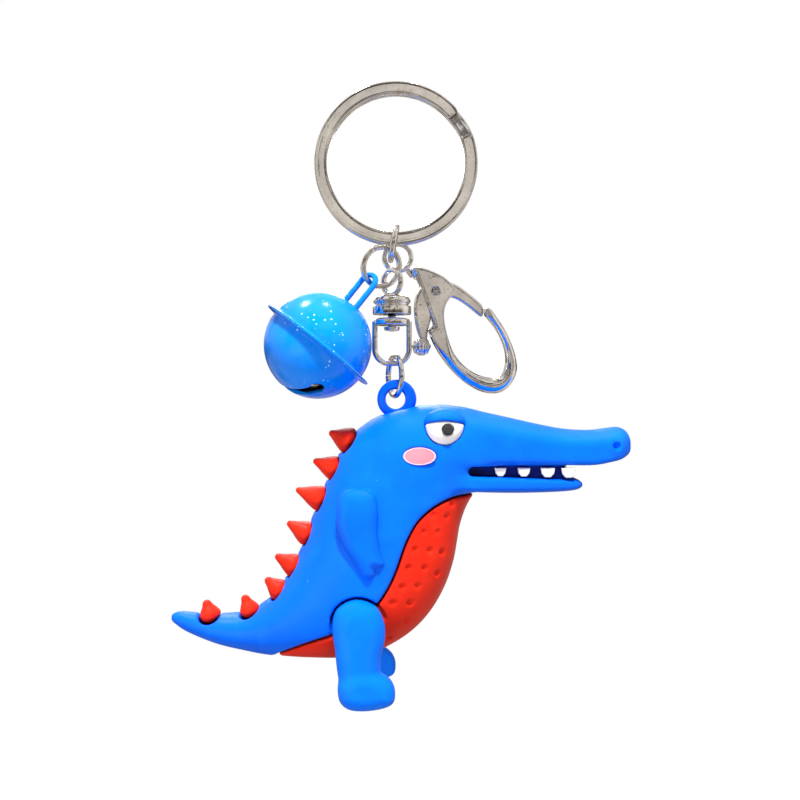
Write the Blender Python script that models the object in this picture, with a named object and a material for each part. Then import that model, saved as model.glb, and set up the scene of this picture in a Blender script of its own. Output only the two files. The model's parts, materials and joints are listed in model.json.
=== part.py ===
"""Crocodile keychain: a soft moulded figure on a swivel, with a lobster clasp and a jingle bell.

Drawn in millimetres and turned into metres when each object is made.
Origin: the inside top of the split ring, where the keychain hangs. +X nose, +Y back, +Z up.
"""
import math

import bmesh
import bpy
from mathutils import Matrix, Vector

for old in list(bpy.data.objects):
    bpy.data.objects.remove(old, do_unlink=True)

# ---------------------------------------------------------------- driving dimensions (mm)
GAP = 0.3                    # between pieces that touch
RING_OUTER = 15.0            # split ring, 30 mm across
RING_BAND = 2.4              # radial width of the band
RING_COIL = 1.0              # thickness of one coil
RING_Z = -(RING_OUTER - RING_BAND)
TOP_LINK = (-0.44, 0.0, -27.18)
TOP_LINK_R, TOP_LINK_WIRE = 3.125, 0.55
TOP_LINK_LEAN = math.radians(10.1)
BELL_LINK = (-2.67, -1.17, -31.61)
BELL_LINK_R, BELL_LINK_WIRE = 3.6, 0.52
BELL_LINK_LEAN = math.radians(13.5)  # its top comes forward of the split ring
LINK_TURN = math.radians(25.7)   # the bell link and the swivel loop are turned apart
LOOP_TURN = math.radians(45.8)
SWIVEL_X = -0.75
LOOP_Z, LOOP_R, LOOP_WIRE = -34.3, 2.3, 0.475
CAP_R, CAP_TOP, CAP_RIM = 3.55, -36.7, -40.3
DISC_R, DISC_TOP, DISC_BOTTOM = 3.3, -41.0, -42.3
BAIL_HALF, BAIL_WIRE, BAIL_BOTTOM = 3.15, 0.5, -49.3
FIGURE_LINK = (-0.2, 0.0, -51.6)
FIGURE_LINK_R, FIGURE_LINK_WIRE = 3.65, 0.5
FIGURE_LINK_TURN = math.radians(20.0)
HANG_X, HANG_Z = -0.1, -55.85    # hole of the hanging loop
HANG_OUTER, HANG_HOLE, HANG_HALF = 3.6, 1.8, 1.15
EYE = Vector((0.31, 1.85, -29.6))  # eye of the clasp
EYE_R, EYE_WIRE = 2.48, 0.475
CLASP_LEAN = math.radians(12.0)    # the clasp's lower end leans back
CLASP_AXIS = Vector((0.629, 0.0, -0.777)).normalized()
CLASP_HALF = 1.5
GATE_PIVOT = (7.3, -35.6)
BELL = Vector((-14.2, -2.5, -46.0))
BELL_AXIS = Vector((0.62, 0.05, 0.78)).normalized()
BELL_R, BELL_WALL, BELL_FLANGE = 9.8, 0.7, 11.5
BELL_HOOK = (-4.9, -1.7, -34.3)
HIP = (-6.6, -95.5)
HIP_R = 4.7
LEG_IN, LEG_OUT = 9.9, 14.3

MATERIALS = {
    "nickel": ((0.72, 0.70, 0.67), 0.16, 1.0),
    "bell_paint": ((0.0, 0.30, 0.90), 0.12, 0.0),
    "blue_pvc": ((0.0, 0.20, 0.90), 0.42, 0.0),
    "red_pvc": ((0.85, 0.035, 0.015), 0.45, 0.0),
    "white_pvc": ((0.90, 0.89, 0.86), 0.35, 0.0),
    "black_pvc": ((0.03, 0.03, 0.035), 0.25, 0.0),
    "pink_pvc": ((0.93, 0.42, 0.52), 0.5, 0.0),
    "steel": ((0.55, 0.55, 0.55), 0.3, 1.0),
}


def material(name):
    made = bpy.data.materials.get(name)
    if made:
        return made
    colour, rough, metal = MATERIALS[name]
    made = bpy.data.materials.new(name)
    made.use_nodes = True
    shader = made.node_tree.nodes["Principled BSDF"]
    shader.inputs["Base Color"].default_value = (*colour, 1.0)
    shader.inputs["Roughness"].default_value = rough
    shader.inputs["Metallic"].default_value = metal
    return made


# ---------------------------------------------------------------- building blocks
def solid(verts, faces):
    """A helper object in millimetres at the world origin, faces out."""
    mesh = bpy.data.meshes.new("solid")
    mesh.from_pydata([tuple(v) for v in verts], [], faces)
    work = bmesh.new()
    work.from_mesh(mesh)
    bmesh.ops.recalc_face_normals(work, faces=work.faces)
    if work.calc_volume(signed=True) < 0:
        bmesh.ops.reverse_faces(work, faces=work.faces)
    work.to_mesh(mesh)
    work.free()
    made = bpy.data.objects.new("solid", mesh)
    bpy.context.scene.collection.objects.link(made)
    return made


def volume(mesh):
    work = bmesh.new()
    work.from_mesh(mesh)
    open_edges = any(not edge.is_manifold for edge in work.edges)
    size = work.calc_volume(signed=True)
    work.free()
    return -1.0 if open_edges else size


def combine(target, tool, operation):
    """One Boolean step. The manifold solver takes over where the exact one loses the solid."""
    a, b = volume(target.data), volume(tool.data)
    low, high = {"UNION": (max(a, b), a + b), "DIFFERENCE": (a - b, a),
                 "INTERSECT": (1e-6, min(a, b))}[operation]
    for solver in ("EXACT", "MANIFOLD"):
        step = target.modifiers.new("step", "BOOLEAN")
        step.operation = operation
        step.solver = solver
        step.object = tool
        graph = bpy.context.evaluated_depsgraph_get()
        mesh = bpy.data.meshes.new_from_object(target.evaluated_get(graph))
        target.modifiers.clear()
        if max(low - 0.02, 1e-6) <= volume(mesh) <= high + 0.02:
            break
    target.data = mesh
    bpy.data.objects.remove(tool, do_unlink=True)
    return target


def cut(target, tool):
    return combine(target, tool, "DIFFERENCE")


def join(target, tool):
    return combine(target, tool, "UNION")


def copy(work):
    made = bpy.data.objects.new("copy", work.data.copy())
    bpy.context.scene.collection.objects.link(made)
    return made


def place(work, name, slot, origin, angle=35.0):
    """Names the piece, moves its origin to its joint and turns millimetres into metres."""
    work.name = name
    work.data.name = name
    work.data.transform(Matrix.Translation(-Vector(origin)))
    work.data.transform(Matrix.Scale(0.001, 4))
    work.location = Vector(origin) * 0.001
    work.data.materials.clear()
    work.data.materials.append(material(slot))
    work.data.shade_smooth()
    work.data.set_sharp_from_angle(angle=math.radians(angle))
    return work


def skin(rings, closed=False, flat=False):
    """A closed surface through rings of equal length: capped at its ends, or closed on itself."""
    count = len(rings[0])
    verts = [v for ring in rings for v in ring]
    faces = []
    for i in range(len(rings) if closed else len(rings) - 1):
        a, b = i * count, (i + 1) % len(rings) * count
        for j in range(count):
            k = (j + 1) % count
            faces.append((a + j, a + k, b + k, b + j))
    if flat:
        faces.append(tuple(range(count))[::-1])
        faces.append(tuple(range(len(verts) - count, len(verts))))
    elif not closed:
        for start, turn in ((0, -1), ((len(rings) - 1) * count, 1)):
            middle = sum((Vector(v) for v in verts[start:start + count]), Vector()) / count
            verts.append(middle)
            for j in range(count):
                pair = (start + j, start + (j + 1) % count)
                faces.append((*pair[::turn], len(verts) - 1))
    return verts, faces


def circle(centre, a, b, radius, count, start=0.0):
    out = []
    for k in range(count):
        t = start + 2 * math.pi * k / count
        out.append(Vector(centre) + (Vector(a) * math.cos(t) + Vector(b) * math.sin(t)) * radius)
    return out


def torus(centre, a, b, radius, wire, around=24, section=6):
    """A ring in the plane of the unit vectors a and b."""
    a, b = Vector(a).normalized(), Vector(b).normalized()
    normal = a.cross(b)
    rings = []
    for k in range(around):
        t = 2 * math.pi * k / around
        out = a * math.cos(t) + b * math.sin(t)
        rings.append(circle(Vector(centre) + out * radius, out, normal, wire, section, math.pi / section))
    return solid(*skin(rings, closed=True))


def rod(path, wire, section=8, side=(0, 1, 0)):
    """A round wire along a path of points, with flat ends."""
    path = [Vector(p) for p in path]
    rings = []
    for k, point in enumerate(path):
        ahead = path[min(k + 1, len(path) - 1)] - path[max(k - 1, 0)]
        ahead.normalize()
        across = Vector(side) - ahead * ahead.dot(Vector(side))
        across.normalize()
        rings.append(circle(point, across, ahead.cross(across), wire, section, math.pi / section))
    return solid(*skin(rings))


def lathe(profile, base, axis, around=24):
    """Turns (radius, height) pairs about an axis; a radius of zero is a point on the axis."""
    axis = Vector(axis).normalized()
    side = axis.cross(Vector((0, 1, 0)) if abs(axis.y) < 0.9 else Vector((1, 0, 0))).normalized()
    other = axis.cross(side)
    verts, rows, faces = [], [], []
    for radius, height in profile:
        middle = Vector(base) + axis * height
        if radius <= 0:
            rows.append([len(verts)] * around)
            verts.append(middle)
        else:
            rows.append(list(range(len(verts), len(verts) + around)))
            verts += circle(middle, side, other, radius, around)
    for i in range(len(rows)):
        low, high = rows[i], rows[(i + 1) % len(rows)]
        if i == len(rows) - 1 and profile[0][0] <= 0:
            break
        for j in range(around):
            k = (j + 1) % around
            face = []
            for corner in (low[j], low[k], high[k], high[j]):
                if corner not in face:
                    face.append(corner)
            if len(face) > 2:
                faces.append(tuple(face))
    return solid(verts, faces)


def cylinder(base, axis, radius, low, high, around=20):
    profile = [(0, low), (radius, low), (radius, high), (0, high)]
    return lathe(profile, base, axis, around)


def ball(centre, radii, around=16, rows=8, turn=None):
    """An ellipsoid with the given half sizes."""
    rings = []
    for i in range(1, rows):
        t = math.pi * i / rows
        ring = []
        for k in range(around):
            s = 2 * math.pi * k / around
            v = Vector((math.sin(t) * math.cos(s), -math.cos(t), math.sin(t) * math.sin(s)))
            v = Vector((v.x * radii[0], v.y * radii[1], v.z * radii[2]))
            ring.append(Vector(centre) + (turn @ v if turn else v))
        rings.append(ring)
    return solid(*skin(rings))


def smooth_open(points, steps):
    """Catmull-Rom through tuples of any length."""
    out = []
    for i in range(len(points) - 1):
        p = [points[min(max(i + k, 0), len(points) - 1)] for k in (-1, 0, 1, 2)]
        for s in range(steps):
            t = s / steps
            row = []
            for a, b, c, d in zip(*p):
                row.append(0.5 * (2 * b + (c - a) * t + (2 * a - 5 * b + 4 * c - d) * t * t
                                  + (3 * b - a - 3 * c + d) * t ** 3))
            out.append(tuple(row))
    out.append(tuple(points[-1]))
    return out


def smooth_closed(points, steps):
    count = len(points)
    out = []
    for i in range(count):
        p = [points[(i + k) % count] for k in (-1, 0, 1, 2)]
        for s in range(steps):
            t = s / steps
            row = []
            for a, b, c, d in zip(*p):
                row.append(0.5 * (2 * b + (c - a) * t + (2 * a - 5 * b + 4 * c - d) * t * t
                                  + (3 * b - a - 3 * c + d) * t ** 3))
            out.append(tuple(row))
    return out


def area(points):
    return sum(a[0] * b[1] - b[0] * a[1] for a, b in zip(points, points[1:] + points[:1])) / 2


def offset(points, distance):
    """Moves a closed outline inwards by the distance, along each corner's bisector."""
    if area(points) < 0:
        points = points[::-1]
    out = []
    for i, p in enumerate(points):
        a = Vector(p) - Vector(points[i - 1])
        b = Vector(points[(i + 1) % len(points)]) - Vector(p)
        a.normalize()
        b.normalize()
        inward = Vector((-(a.y + b.y), a.x + b.x))
        scale = max(1.0 + a.dot(b), 0.5)
        out.append(tuple(Vector(p) + inward * distance / scale))
    return out


def slab(points, layers, side=1.0):
    """An outline (x, z) stacked along y: layers are (y, inset). side -1 mirrors it in y."""
    rings = []
    for y, inset in layers:
        flat = offset(list(points), inset)
        rings.append([Vector((x, y * side, z)) for x, z in flat])
    return solid(*skin(rings, flat=True))


# ---------------------------------------------------------------- split ring and links
def split_ring():
    """Two coils side by side, crossing over in one short run."""
    half_w, half_t, ease = RING_BAND / 2, RING_COIL / 2, 0.22
    section = [(-half_w, -half_t + ease), (-half_w + ease, -half_t), (half_w - ease, -half_t),
               (half_w, -half_t + ease), (half_w, half_t - ease), (half_w - ease, half_t),
               (-half_w + ease, half_t), (-half_w, half_t - ease)]
    shift = half_t + GAP / 2
    cross, first = 22.0, 40.0
    angles = [first + (360 - cross) * k / 36 for k in range(37)]
    run = [(a, -shift) for a in angles]
    for k in range(1, 7):
        t = k / 7
        run.append((first + 360 - cross + cross * t, -shift + 2 * shift * (3 * t * t - 2 * t ** 3)))
    run += [(first + 360 + (360 - cross) * k / 36, shift) for k in range(37)]
    rings = []
    for angle, y in run:
        t = math.radians(angle)
        rings.append([Vector(((RING_OUTER - half_w + r) * math.cos(t), y + s,
                              RING_Z + (RING_OUTER - half_w + r) * math.sin(t))) for r, s in section])
    return solid(*skin(rings))


place(split_ring(), "split_ring", "nickel", (0, 0, RING_Z))

lean = Vector((math.sin(TOP_LINK_LEAN), 0, math.cos(TOP_LINK_LEAN)))
place(torus(TOP_LINK, (0, 1, 0), lean, TOP_LINK_R, TOP_LINK_WIRE, 24, 6), "top_link", "nickel",
      (0, 0, -26.4))

bell_side = Vector((math.cos(LINK_TURN), math.sin(LINK_TURN), 0))
bell_up = Vector((0, -math.sin(BELL_LINK_LEAN), math.cos(BELL_LINK_LEAN)))
bell_up = (bell_up - bell_side * bell_side.dot(bell_up)).normalized()
place(torus(BELL_LINK, bell_side, bell_up, BELL_LINK_R, BELL_LINK_WIRE, 36, 8), "bell_link", "nickel",
      (-0.99, 0, -30.26))

# ---------------------------------------------------------------- swivel
swivel = (SWIVEL_X, 0, 0)
loop_side = (math.cos(LOOP_TURN), -math.sin(LOOP_TURN), 0)
loop = torus((SWIVEL_X, 0, LOOP_Z), loop_side, (0, 0, 1), LOOP_R, LOOP_WIRE, 22, 6)
cap = lathe([(0, CAP_TOP), (2.5, CAP_TOP - 0.1), (3.3, CAP_TOP - 0.5), (CAP_R, CAP_TOP - 1.2),
             (CAP_R, CAP_RIM), (CAP_R - 0.7, CAP_RIM), (CAP_R - 0.7, CAP_TOP - 1.3),
             (1.1, CAP_TOP - 1.3), (1.1, CAP_TOP - 0.7), (0, CAP_TOP - 0.7)], swivel, (0, 0, 1), 22)
place(join(loop, cap), "swivel_upper_loop", "nickel", (SWIVEL_X, 0, -33.0))

pin_top = CAP_TOP - 0.7 - GAP
rivet = lathe([(0, pin_top), (0.75, pin_top), (0.75, DISC_BOTTOM - GAP), (1.5, DISC_BOTTOM - GAP),
               (1.3, DISC_BOTTOM - 1.0), (0, DISC_BOTTOM - 1.2)], swivel, (0, 0, 1), 16)
place(rivet, "swivel_rivet", "nickel", (SWIVEL_X, 0, CAP_RIM))


def bail():
    bend = 2.6
    left = SWIVEL_X - BAIL_HALF
    right = SWIVEL_X + BAIL_HALF
    path = [(left, 0, DISC_TOP - 0.55), (left, 0, BAIL_BOTTOM + bend)]
    for k in range(1, 7):
        t = math.pi / 2 * k / 6
        path.append((left + bend * (1 - math.cos(t)), 0, BAIL_BOTTOM + bend * (1 - math.sin(t))))
    path += [(2 * SWIVEL_X - x, y, z) for x, y, z in path[::-1]]
    wire = rod(path, BAIL_WIRE, 6)
    disc = lathe([(1.05, DISC_TOP), (DISC_R - 0.3, DISC_TOP), (DISC_R, DISC_TOP - 0.3),
                  (DISC_R, DISC_BOTTOM + 0.2), (DISC_R - 0.2, DISC_BOTTOM), (1.05, DISC_BOTTOM)],
                 swivel, (0, 0, 1), 22)
    return join(wire, disc)


place(bail(), "swivel_lower_bail", "nickel", (SWIVEL_X, 0, DISC_TOP))

link_side = (math.sin(FIGURE_LINK_TURN), -math.cos(FIGURE_LINK_TURN), 0)
place(torus(FIGURE_LINK, link_side, (0, 0, 1), FIGURE_LINK_R, FIGURE_LINK_WIRE, 24, 6), "figure_link",
      "nickel", (SWIVEL_X, 0, BAIL_BOTTOM))

# ---------------------------------------------------------------- clasp, drawn flat and then leaned forward
lean_axis = CLASP_AXIS.cross(Vector((0, 1, 0)))
tilt = Matrix.Rotation(CLASP_LEAN, 4, lean_axis)
if (tilt @ CLASP_AXIS).y < 0:
    tilt = Matrix.Rotation(-CLASP_LEAN, 4, lean_axis)
CLASP = Matrix.Translation(EYE) @ tilt @ Matrix.Translation(-Vector((EYE.x, 0, EYE.z)))
SPIN = (tilt @ CLASP_AXIS).normalized()
GATE_AXIS = (tilt @ Vector((0, 1, 0))).normalized()


def clasped(work):
    work.data.transform(CLASP)
    return work


FRAME = [(3.0, -31.5), (4.6, -31.3), (8.0, -32.6), (10.0, -34.0), (10.9, -35.3), (10.6, -36.4),
         (9.5, -37.9), (9.0, -39.8), (9.3, -42.4), (10.1, -45.0), (11.3, -47.6), (13.0, -49.7),
         (15.0, -51.2), (17.3, -52.1), (19.3, -52.2), (20.6, -51.2), (21.2, -49.4), (21.0, -47.2),
         (20.2, -45.0), (19.0, -42.9), (17.6, -41.1), (17.0, -40.3), (17.1, -38.9), (18.0, -39.2),
         (19.2, -40.6), (20.8, -42.8), (22.2, -45.5), (23.2, -48.4), (23.4, -51.0), (22.4, -53.4),
         (20.7, -54.9), (18.6, -55.3), (16.0, -54.7), (13.2, -53.0), (10.6, -50.6), (8.4, -47.7),
         (6.9, -44.8), (5.6, -41.0), (4.3, -36.8), (3.1, -33.2)]
eye_point = Vector((EYE.x, 0, EYE.z))
plate = slab(FRAME, [(-CLASP_HALF, 0.35), (-CLASP_HALF + 0.4, 0.0), (CLASP_HALF - 0.4, 0.0),
                     (CLASP_HALF, 0.35)])
# the fork that holds the gate
fork = slab([(1.5, -33.8), (8.0, -33.6), (12.0, -32.5), (13.0, -38.0), (9.2, -39.2), (7.9, -40.6),
             (7.3, -44.0), (3.0, -45.6)], [(-1.1, 0), (1.1, 0)])
cut(plate, fork)
post_hole = cylinder(eye_point, CLASP_AXIS, 0.8, 2.4, 5.2, 14)
cut(plate, post_hole)
pin_hole = cylinder((GATE_PIVOT[0], 0, GATE_PIVOT[1]), (0, 1, 0), 0.85, -3, 3, 14)
cut(plate, pin_hole)
place(clasped(plate), "clasp_frame", "nickel", CLASP @ (eye_point + CLASP_AXIS * 3.4))

# eye with its swivelling post: a neck through the frame's top wall and a head inside the fork
eye_ring = torus(EYE, (1, 0, 0), (0, 0, 1), EYE_R, EYE_WIRE, 22, 6)
post = lathe([(0, EYE_R - 0.2), (0.5, EYE_R - 0.2), (0.5, 4.6), (0, 4.6)], eye_point, CLASP_AXIS, 12)
place(join(eye_ring, clasped(post)), "clasp_eye", "nickel", (-0.95, 1.85, -29.7))

pivot = (GATE_PIVOT[0], 0, GATE_PIVOT[1])
place(clasped(cylinder(pivot, (0, 1, 0), 0.55, -CLASP_HALF, CLASP_HALF, 12)), "clasp_gate_pin", "steel",
      CLASP @ Vector(pivot))

GATE = [(7.6, -34.1), (9.4, -33.9), (11.4, -34.6), (13.6, -36.1), (15.6, -37.7), (16.6, -38.9),
        (16.4, -40.6), (15.2, -39.9), (13.4, -38.5), (11.2, -37.2), (9.4, -36.9), (8.6, -37.4),
        (7.7, -38.4), (6.9, -40.4), (6.2, -43.0), (5.9, -44.9), (4.9, -45.0), (4.1, -43.2),
        (3.6, -40.6), (3.5, -38.0), (4.3, -35.6), (5.8, -34.4)]
gate = slab(GATE, [(-0.8, 0.2), (-0.6, 0.0), (0.6, 0.0), (0.8, 0.2)])
nub = slab([(3.9, -44.5), (6.2, -44.5), (6.6, -45.6), (6.3, -47.2), (5.0, -47.9), (3.6, -47.2),
            (3.2, -45.8)], [(-1.4, 0.3), (-1.1, 0.0), (1.1, 0.0), (1.4, 0.3)])
join(gate, nub)
for k in range(4):
    at = -1.05 + 0.7 * k
    groove = slab([(2.6, -46.4), (7.2, -46.2), (7.2, -46.55), (2.6, -46.75)],
                  [(at - 0.0, 0), (at + 0.22, 0)])
    cut(gate, groove)
cut(gate, cylinder(pivot, (0, 1, 0), 0.85, -3, 3, 14))
spring_room = cylinder(pivot, (0, 1, 0), 1.5, -0.45, 0.45, 16)
cut(gate, spring_room)
place(clasped(gate), "clasp_gate", "nickel", CLASP @ Vector(pivot))

# the return spring: one open turn in the gate's hub
coil = []
for k in range(15):
    t = math.radians(20 + 320 * k / 14)
    coil.append((pivot[0] + 1.05 * math.cos(t), 0, pivot[2] + 1.05 * math.sin(t)))
place(clasped(rod(coil, 0.13, 6)), "clasp_spring", "steel", CLASP @ Vector(pivot))

# ---------------------------------------------------------------- bell
side_xz = Vector((BELL_AXIS.z, 0, -BELL_AXIS.x)).normalized()


def half_bell(rows=6):
    inner = BELL_R - BELL_WALL
    profile = [(0, BELL_R)]
    for k in range(1, rows + 1):
        t = math.pi / 2 * k / (rows + 0.35)
        profile.append((BELL_R * math.sin(t), BELL_R * math.cos(t)))
    profile += [(BELL_FLANGE - 0.25, 0.32), (BELL_FLANGE, 0.2), (inner, 0.16)]
    for k in range(rows - 1, 0, -1):
        t = math.pi / 2 * k / rows
        profile.append((inner * math.sin(t), inner * math.cos(t)))
    profile.append((0, inner))
    return profile


def eyelet():
    """A staple of wire, its legs set into the crown."""
    across = (side_xz * 0.72 - Vector((0, 1, 0)) * 0.69).normalized()
    half, rise = 1.75, 14.55
    path = [BELL + across * half + BELL_AXIS * 9.0, BELL + across * half + BELL_AXIS * (rise - 0.6)]
    for k in range(1, 10):
        t = math.pi * k / 10
        path.append(BELL + across * half * math.cos(t) + BELL_AXIS * (rise + half * math.sin(t) * 0.95))
    path.append(BELL - across * half + BELL_AXIS * (rise - 0.6))
    path.append(BELL - across * half + BELL_AXIS * 9.0)
    return path, BELL_AXIS.cross(across)


staple, staple_side = eyelet()
upper = lathe(half_bell(), BELL, BELL_AXIS, 28)
for end in (staple[0], staple[-1]):
    cut(upper, cylinder(end, BELL_AXIS, 0.55 + GAP, -2.5, 2.5, 12))
place(upper, "bell_upper_half", "bell_paint", BELL_HOOK)
place(rod(staple, 0.55, 6, staple_side), "bell_eyelet", "bell_paint", BELL_HOOK)

lower = lathe(half_bell(), BELL, -BELL_AXIS, 28)
slot_dir = Vector((0.53, -0.72, -0.45))
slot_dir = (slot_dir - BELL_AXIS * slot_dir.dot(BELL_AXIS)).normalized()
slot_out = BELL_AXIS.cross(slot_dir)
reach = 7.4
saw = []
for low in (-12.0, -4.0):
    saw.append([BELL + BELL_AXIS * low + slot_dir * a * reach + slot_out * b * 0.8
                for a, b in ((-1, -1), (1, -1), (1, 1), (-1, 1))])
cut(lower, solid(*skin(saw)))
for end in (-1, 1):
    way = (slot_dir * end * 7.45 - BELL_AXIS * 6.4).normalized()
    cut(lower, cylinder(BELL, way, 1.25, 5.0, 12.0, 14))
place(lower, "bell_lower_half", "bell_paint", BELL_HOOK)
pellet_z = BELL.z - (BELL_R - BELL_WALL - 1.7 - GAP)
place(ball((BELL.x, BELL.y, pellet_z), (1.7, 1.7, 1.7), 14, 8), "bell_pellet", "steel", tuple(BELL))

# ---------------------------------------------------------------- crocodile
# Each rib runs from the back (x, z) to the belly side (x, z), with a half width across the body.
RIBS = [(-41.3, -96.0, -41.2, -96.6, 0.5), (-41.0, -95.3, -40.4, -97.2, 1.4),
        (-39.4, -94.9, -38.6, -98.4, 2.2), (-36.1, -95.2, -35.3, -99.8, 3.2),
        (-32.2, -95.3, -32.0, -100.9, 4.2), (-28.2, -95.0, -27.8, -101.8, 5.2),
        (-25.4, -93.8, -23.9, -102.5, 6.4), (-22.9, -92.1, -19.5, -102.9, 7.7),
        (-21.2, -90.1, -14.9, -103.1, 8.9), (-19.7, -87.5, -9.9, -103.1, 9.9),
        (-18.2, -84.7, -5.2, -102.5, 10.6), (-17.0, -82.0, -1.5, -101.1, 11.0),
        (-15.9, -78.8, 2.8, -98.4, 11.3), (-14.7, -75.6, 6.3, -94.8, 11.4),
        (-13.4, -72.3, 9.0, -90.2, 11.3), (-12.1, -69.1, 10.6, -85.6, 11.0),
        (-10.6, -66.0, 11.3, -81.9, 10.6), (-8.5, -62.9, 11.8, -79.0, 10.1),
        (-5.9, -60.5, 12.7, -76.2, 9.7), (-2.9, -58.8, 13.7, -74.2, 9.3),
        (0.7, -57.8, 14.2, -73.6, 9.1), (4.4, -57.0, 14.5, -73.2, 8.9),
        (9.0, -57.1, 14.9, -72.9, 8.8), (14.0, -57.8, 15.6, -72.9, 8.6)]
# Upper jaw, in upright ribs: x, top, bottom, half width.
UPPER = [(8.0, -57.1, -68.0, 8.7), (13.0, -57.6, -67.9, 8.6), (17.5, -58.5, -67.8, 8.2),
         (22.0, -59.5, -67.8, 7.8), (26.5, -60.5, -67.8, 7.4), (31.0, -61.3, -67.8, 7.1),
         (35.5, -61.6, -67.8, 6.8), (39.0, -61.4, -67.3, 6.3), (41.3, -61.8, -66.6, 5.3),
         (42.5, -62.7, -65.7, 3.6), (42.9, -63.6, -64.8, 1.6)]
LOWER = [(8.0, -70.2, -72.8, 7.8), (13.0, -70.3, -72.9, 7.7), (20.0, -70.3, -72.9, 7.3),
         (26.0, -70.3, -72.8, 6.8), (30.5, -70.3, -72.6, 6.2), (32.8, -70.6, -72.3, 5.2),
         (33.9, -71.2, -71.8, 3.2)]


def power(value, exponent):
    return math.copysign(abs(value) ** exponent, value)


def rib_ring(back, belly, half, count, blunt=2.3, flat=None):
    """A superellipse from the back point to the belly point; flat squares off its belly side."""
    back, belly = Vector(back), Vector(belly)
    middle, reach_to = (back + belly) / 2, (back - belly) / 2
    out = []
    for k in range(count):
        t = 2 * math.pi * k / count
        c, s = math.cos(t), math.sin(t)
        n = flat if flat and c < 0 else blunt
        out.append(middle + reach_to * power(c, 2 / n) + Vector((0, half * power(s, 2 / n), 0)))
    return out


def torso(steps=2, count=24):
    rings = []
    for xb, zb, xv, zv, half in smooth_open(RIBS, steps):
        rings.append(rib_ring((xb, 0, zb), (xv, 0, zv), half, count))
    return solid(*skin(rings))


def jaw(ribs, steps, count, blunt, flat):
    rings = []
    for x, top, bottom, half in smooth_open(ribs, steps):
        rings.append(rib_ring((x, 0, top), (x, 0, bottom), half, count, blunt, flat))
    return solid(*skin(rings))


body = torso()
join(body, jaw(UPPER, 1, 24, 2.4, 4.5))
join(body, jaw(LOWER, 1, 16, 3.0, None))
# mouth: a shallow groove round a solid core, so the two jaws stay one moulding
core = slab([(9.0, -66.4), (9.3, -71.6), (30.2, -71.4), (30.9, -66.6)],
            [(-5.1, 0.8), (-4.3, 0.0), (4.3, 0.0), (5.1, 0.8)])
join(body, core)

# eyelids, nostrils and arms stand out of the sides
for side in (-1, 1):
    lid = ball((8.7, side * 7.0, -60.6), (4.5, 2.9, 3.4), 16, 8)
    join(body, lid)
    join(body, ball((40.4, side * 3.4, -63.2), (1.5, 1.6, 1.1), 12, 6))
ARM = [(-9.6, -71.6), (-6.8, -70.8), (-3.8, -71.6), (-3.2, -75.2), (-3.3, -78.8), (-3.1, -81.4),
       (-2.1, -83.8), (-1.9, -85.2), (-2.8, -86.2), (-3.6, -85.7), (-4.0, -86.9), (-5.1, -88.0),
       (-6.2, -87.2), (-6.9, -86.2), (-8.3, -83.2), (-9.9, -79.6), (-10.3, -76.6)]
for side in (-1, 1):
    arm = slab(ARM, [(7.0, 0.0), (11.6, 0.0), (12.5, 0.35), (13.0, 1.0)], side)
    join(body, arm)

# the red belly is a separate moulding let into the blue one
BELLY = [(14.6, -73.5), (11.0, -73.9), (8.6, -74.5), (6.2, -75.8), (4.0, -77.8), (2.6, -80.0),
         (1.5, -82.6), (0.4, -86.2), (-0.8, -89.2), (-2.1, -91.6), (-3.9, -93.8), (-6.3, -96.0),
         (-8.6, -97.9), (-11.2, -99.2), (-14.2, -100.2), (-17.6, -101.2), (-21.5, -102.6)]
edge = smooth_open(BELLY, 2)
inside = edge + [(-22.5, -108.0), (20.0, -108.0), (22.0, -73.5)]
belly = combine(torso(), slab(inside, [(-16, 0), (16, 0)]), "INTERSECT")
wider = [(x, z) for x, z in offset(inside, -GAP)]
cut(body, slab(wider, [(-16, 0), (16, 0)]))

# hips: a round seat and a bore for the leg's peg on each side
for side in (-1, 1):
    hip = (HIP[0], 0, HIP[1])
    for work in (body, belly):
        cut(work, cylinder(hip, (0, side, 0), HIP_R + GAP, LEG_IN - GAP, 16.0, 28))
        cut(work, cylinder(hip, (0, side, 0), 2.0 + GAP, LEG_IN - 3.6, 16.0, 16))

# dimples over the belly
DIMPLES = [(7.0, -77.4), (9.6, -77.6), (5.2, -80.5), (7.9, -80.6), (3.6, -83.6), (6.4, -83.7),
           (8.9, -84.4), (2.5, -87.1), (5.3, -87.2), (7.9, -88.3), (1.3, -90.6), (4.0, -90.8),
           (-0.6, -93.6), (2.6, -93.9), (1.7, -97.6), (-1.2, -98.6)]


def side_of(work, x, z, side):
    hit, spot, _, _ = work.ray_cast(Vector((x, side * 30.0, z)), Vector((0, -side, 0)))
    return spot.y if hit else side * 8.0


for side in (-1, 1):
    for x, z in DIMPLES:
        cut(belly, ball((x, side_of(belly, x, z, side) + side * 0.25, z), (0.55, 0.7, 0.55), 6, 3))
place(belly, "belly", "red_pvc", (HANG_X, 0, HANG_Z), 50)

# spikes down the back: tip, middle of the base, half width
SPIKES = [((-12.3, -61.9), (-8.9, -63.4), 2.4), ((-15.2, -67.1), (-11.5, -68.5), 2.2),
          ((-18.4, -72.4), (-14.0, -74.1), 2.3), ((-20.0, -78.5), (-16.4, -80.5), 2.2),
          ((-22.2, -84.6), (-18.8, -86.4), 2.1), ((-24.0, -88.8), (-21.5, -90.9), 2.0),
          ((-28.0, -91.9), (-26.9, -94.6), 1.8), ((-35.0, -92.8), (-34.2, -95.4), 1.9)]


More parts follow.
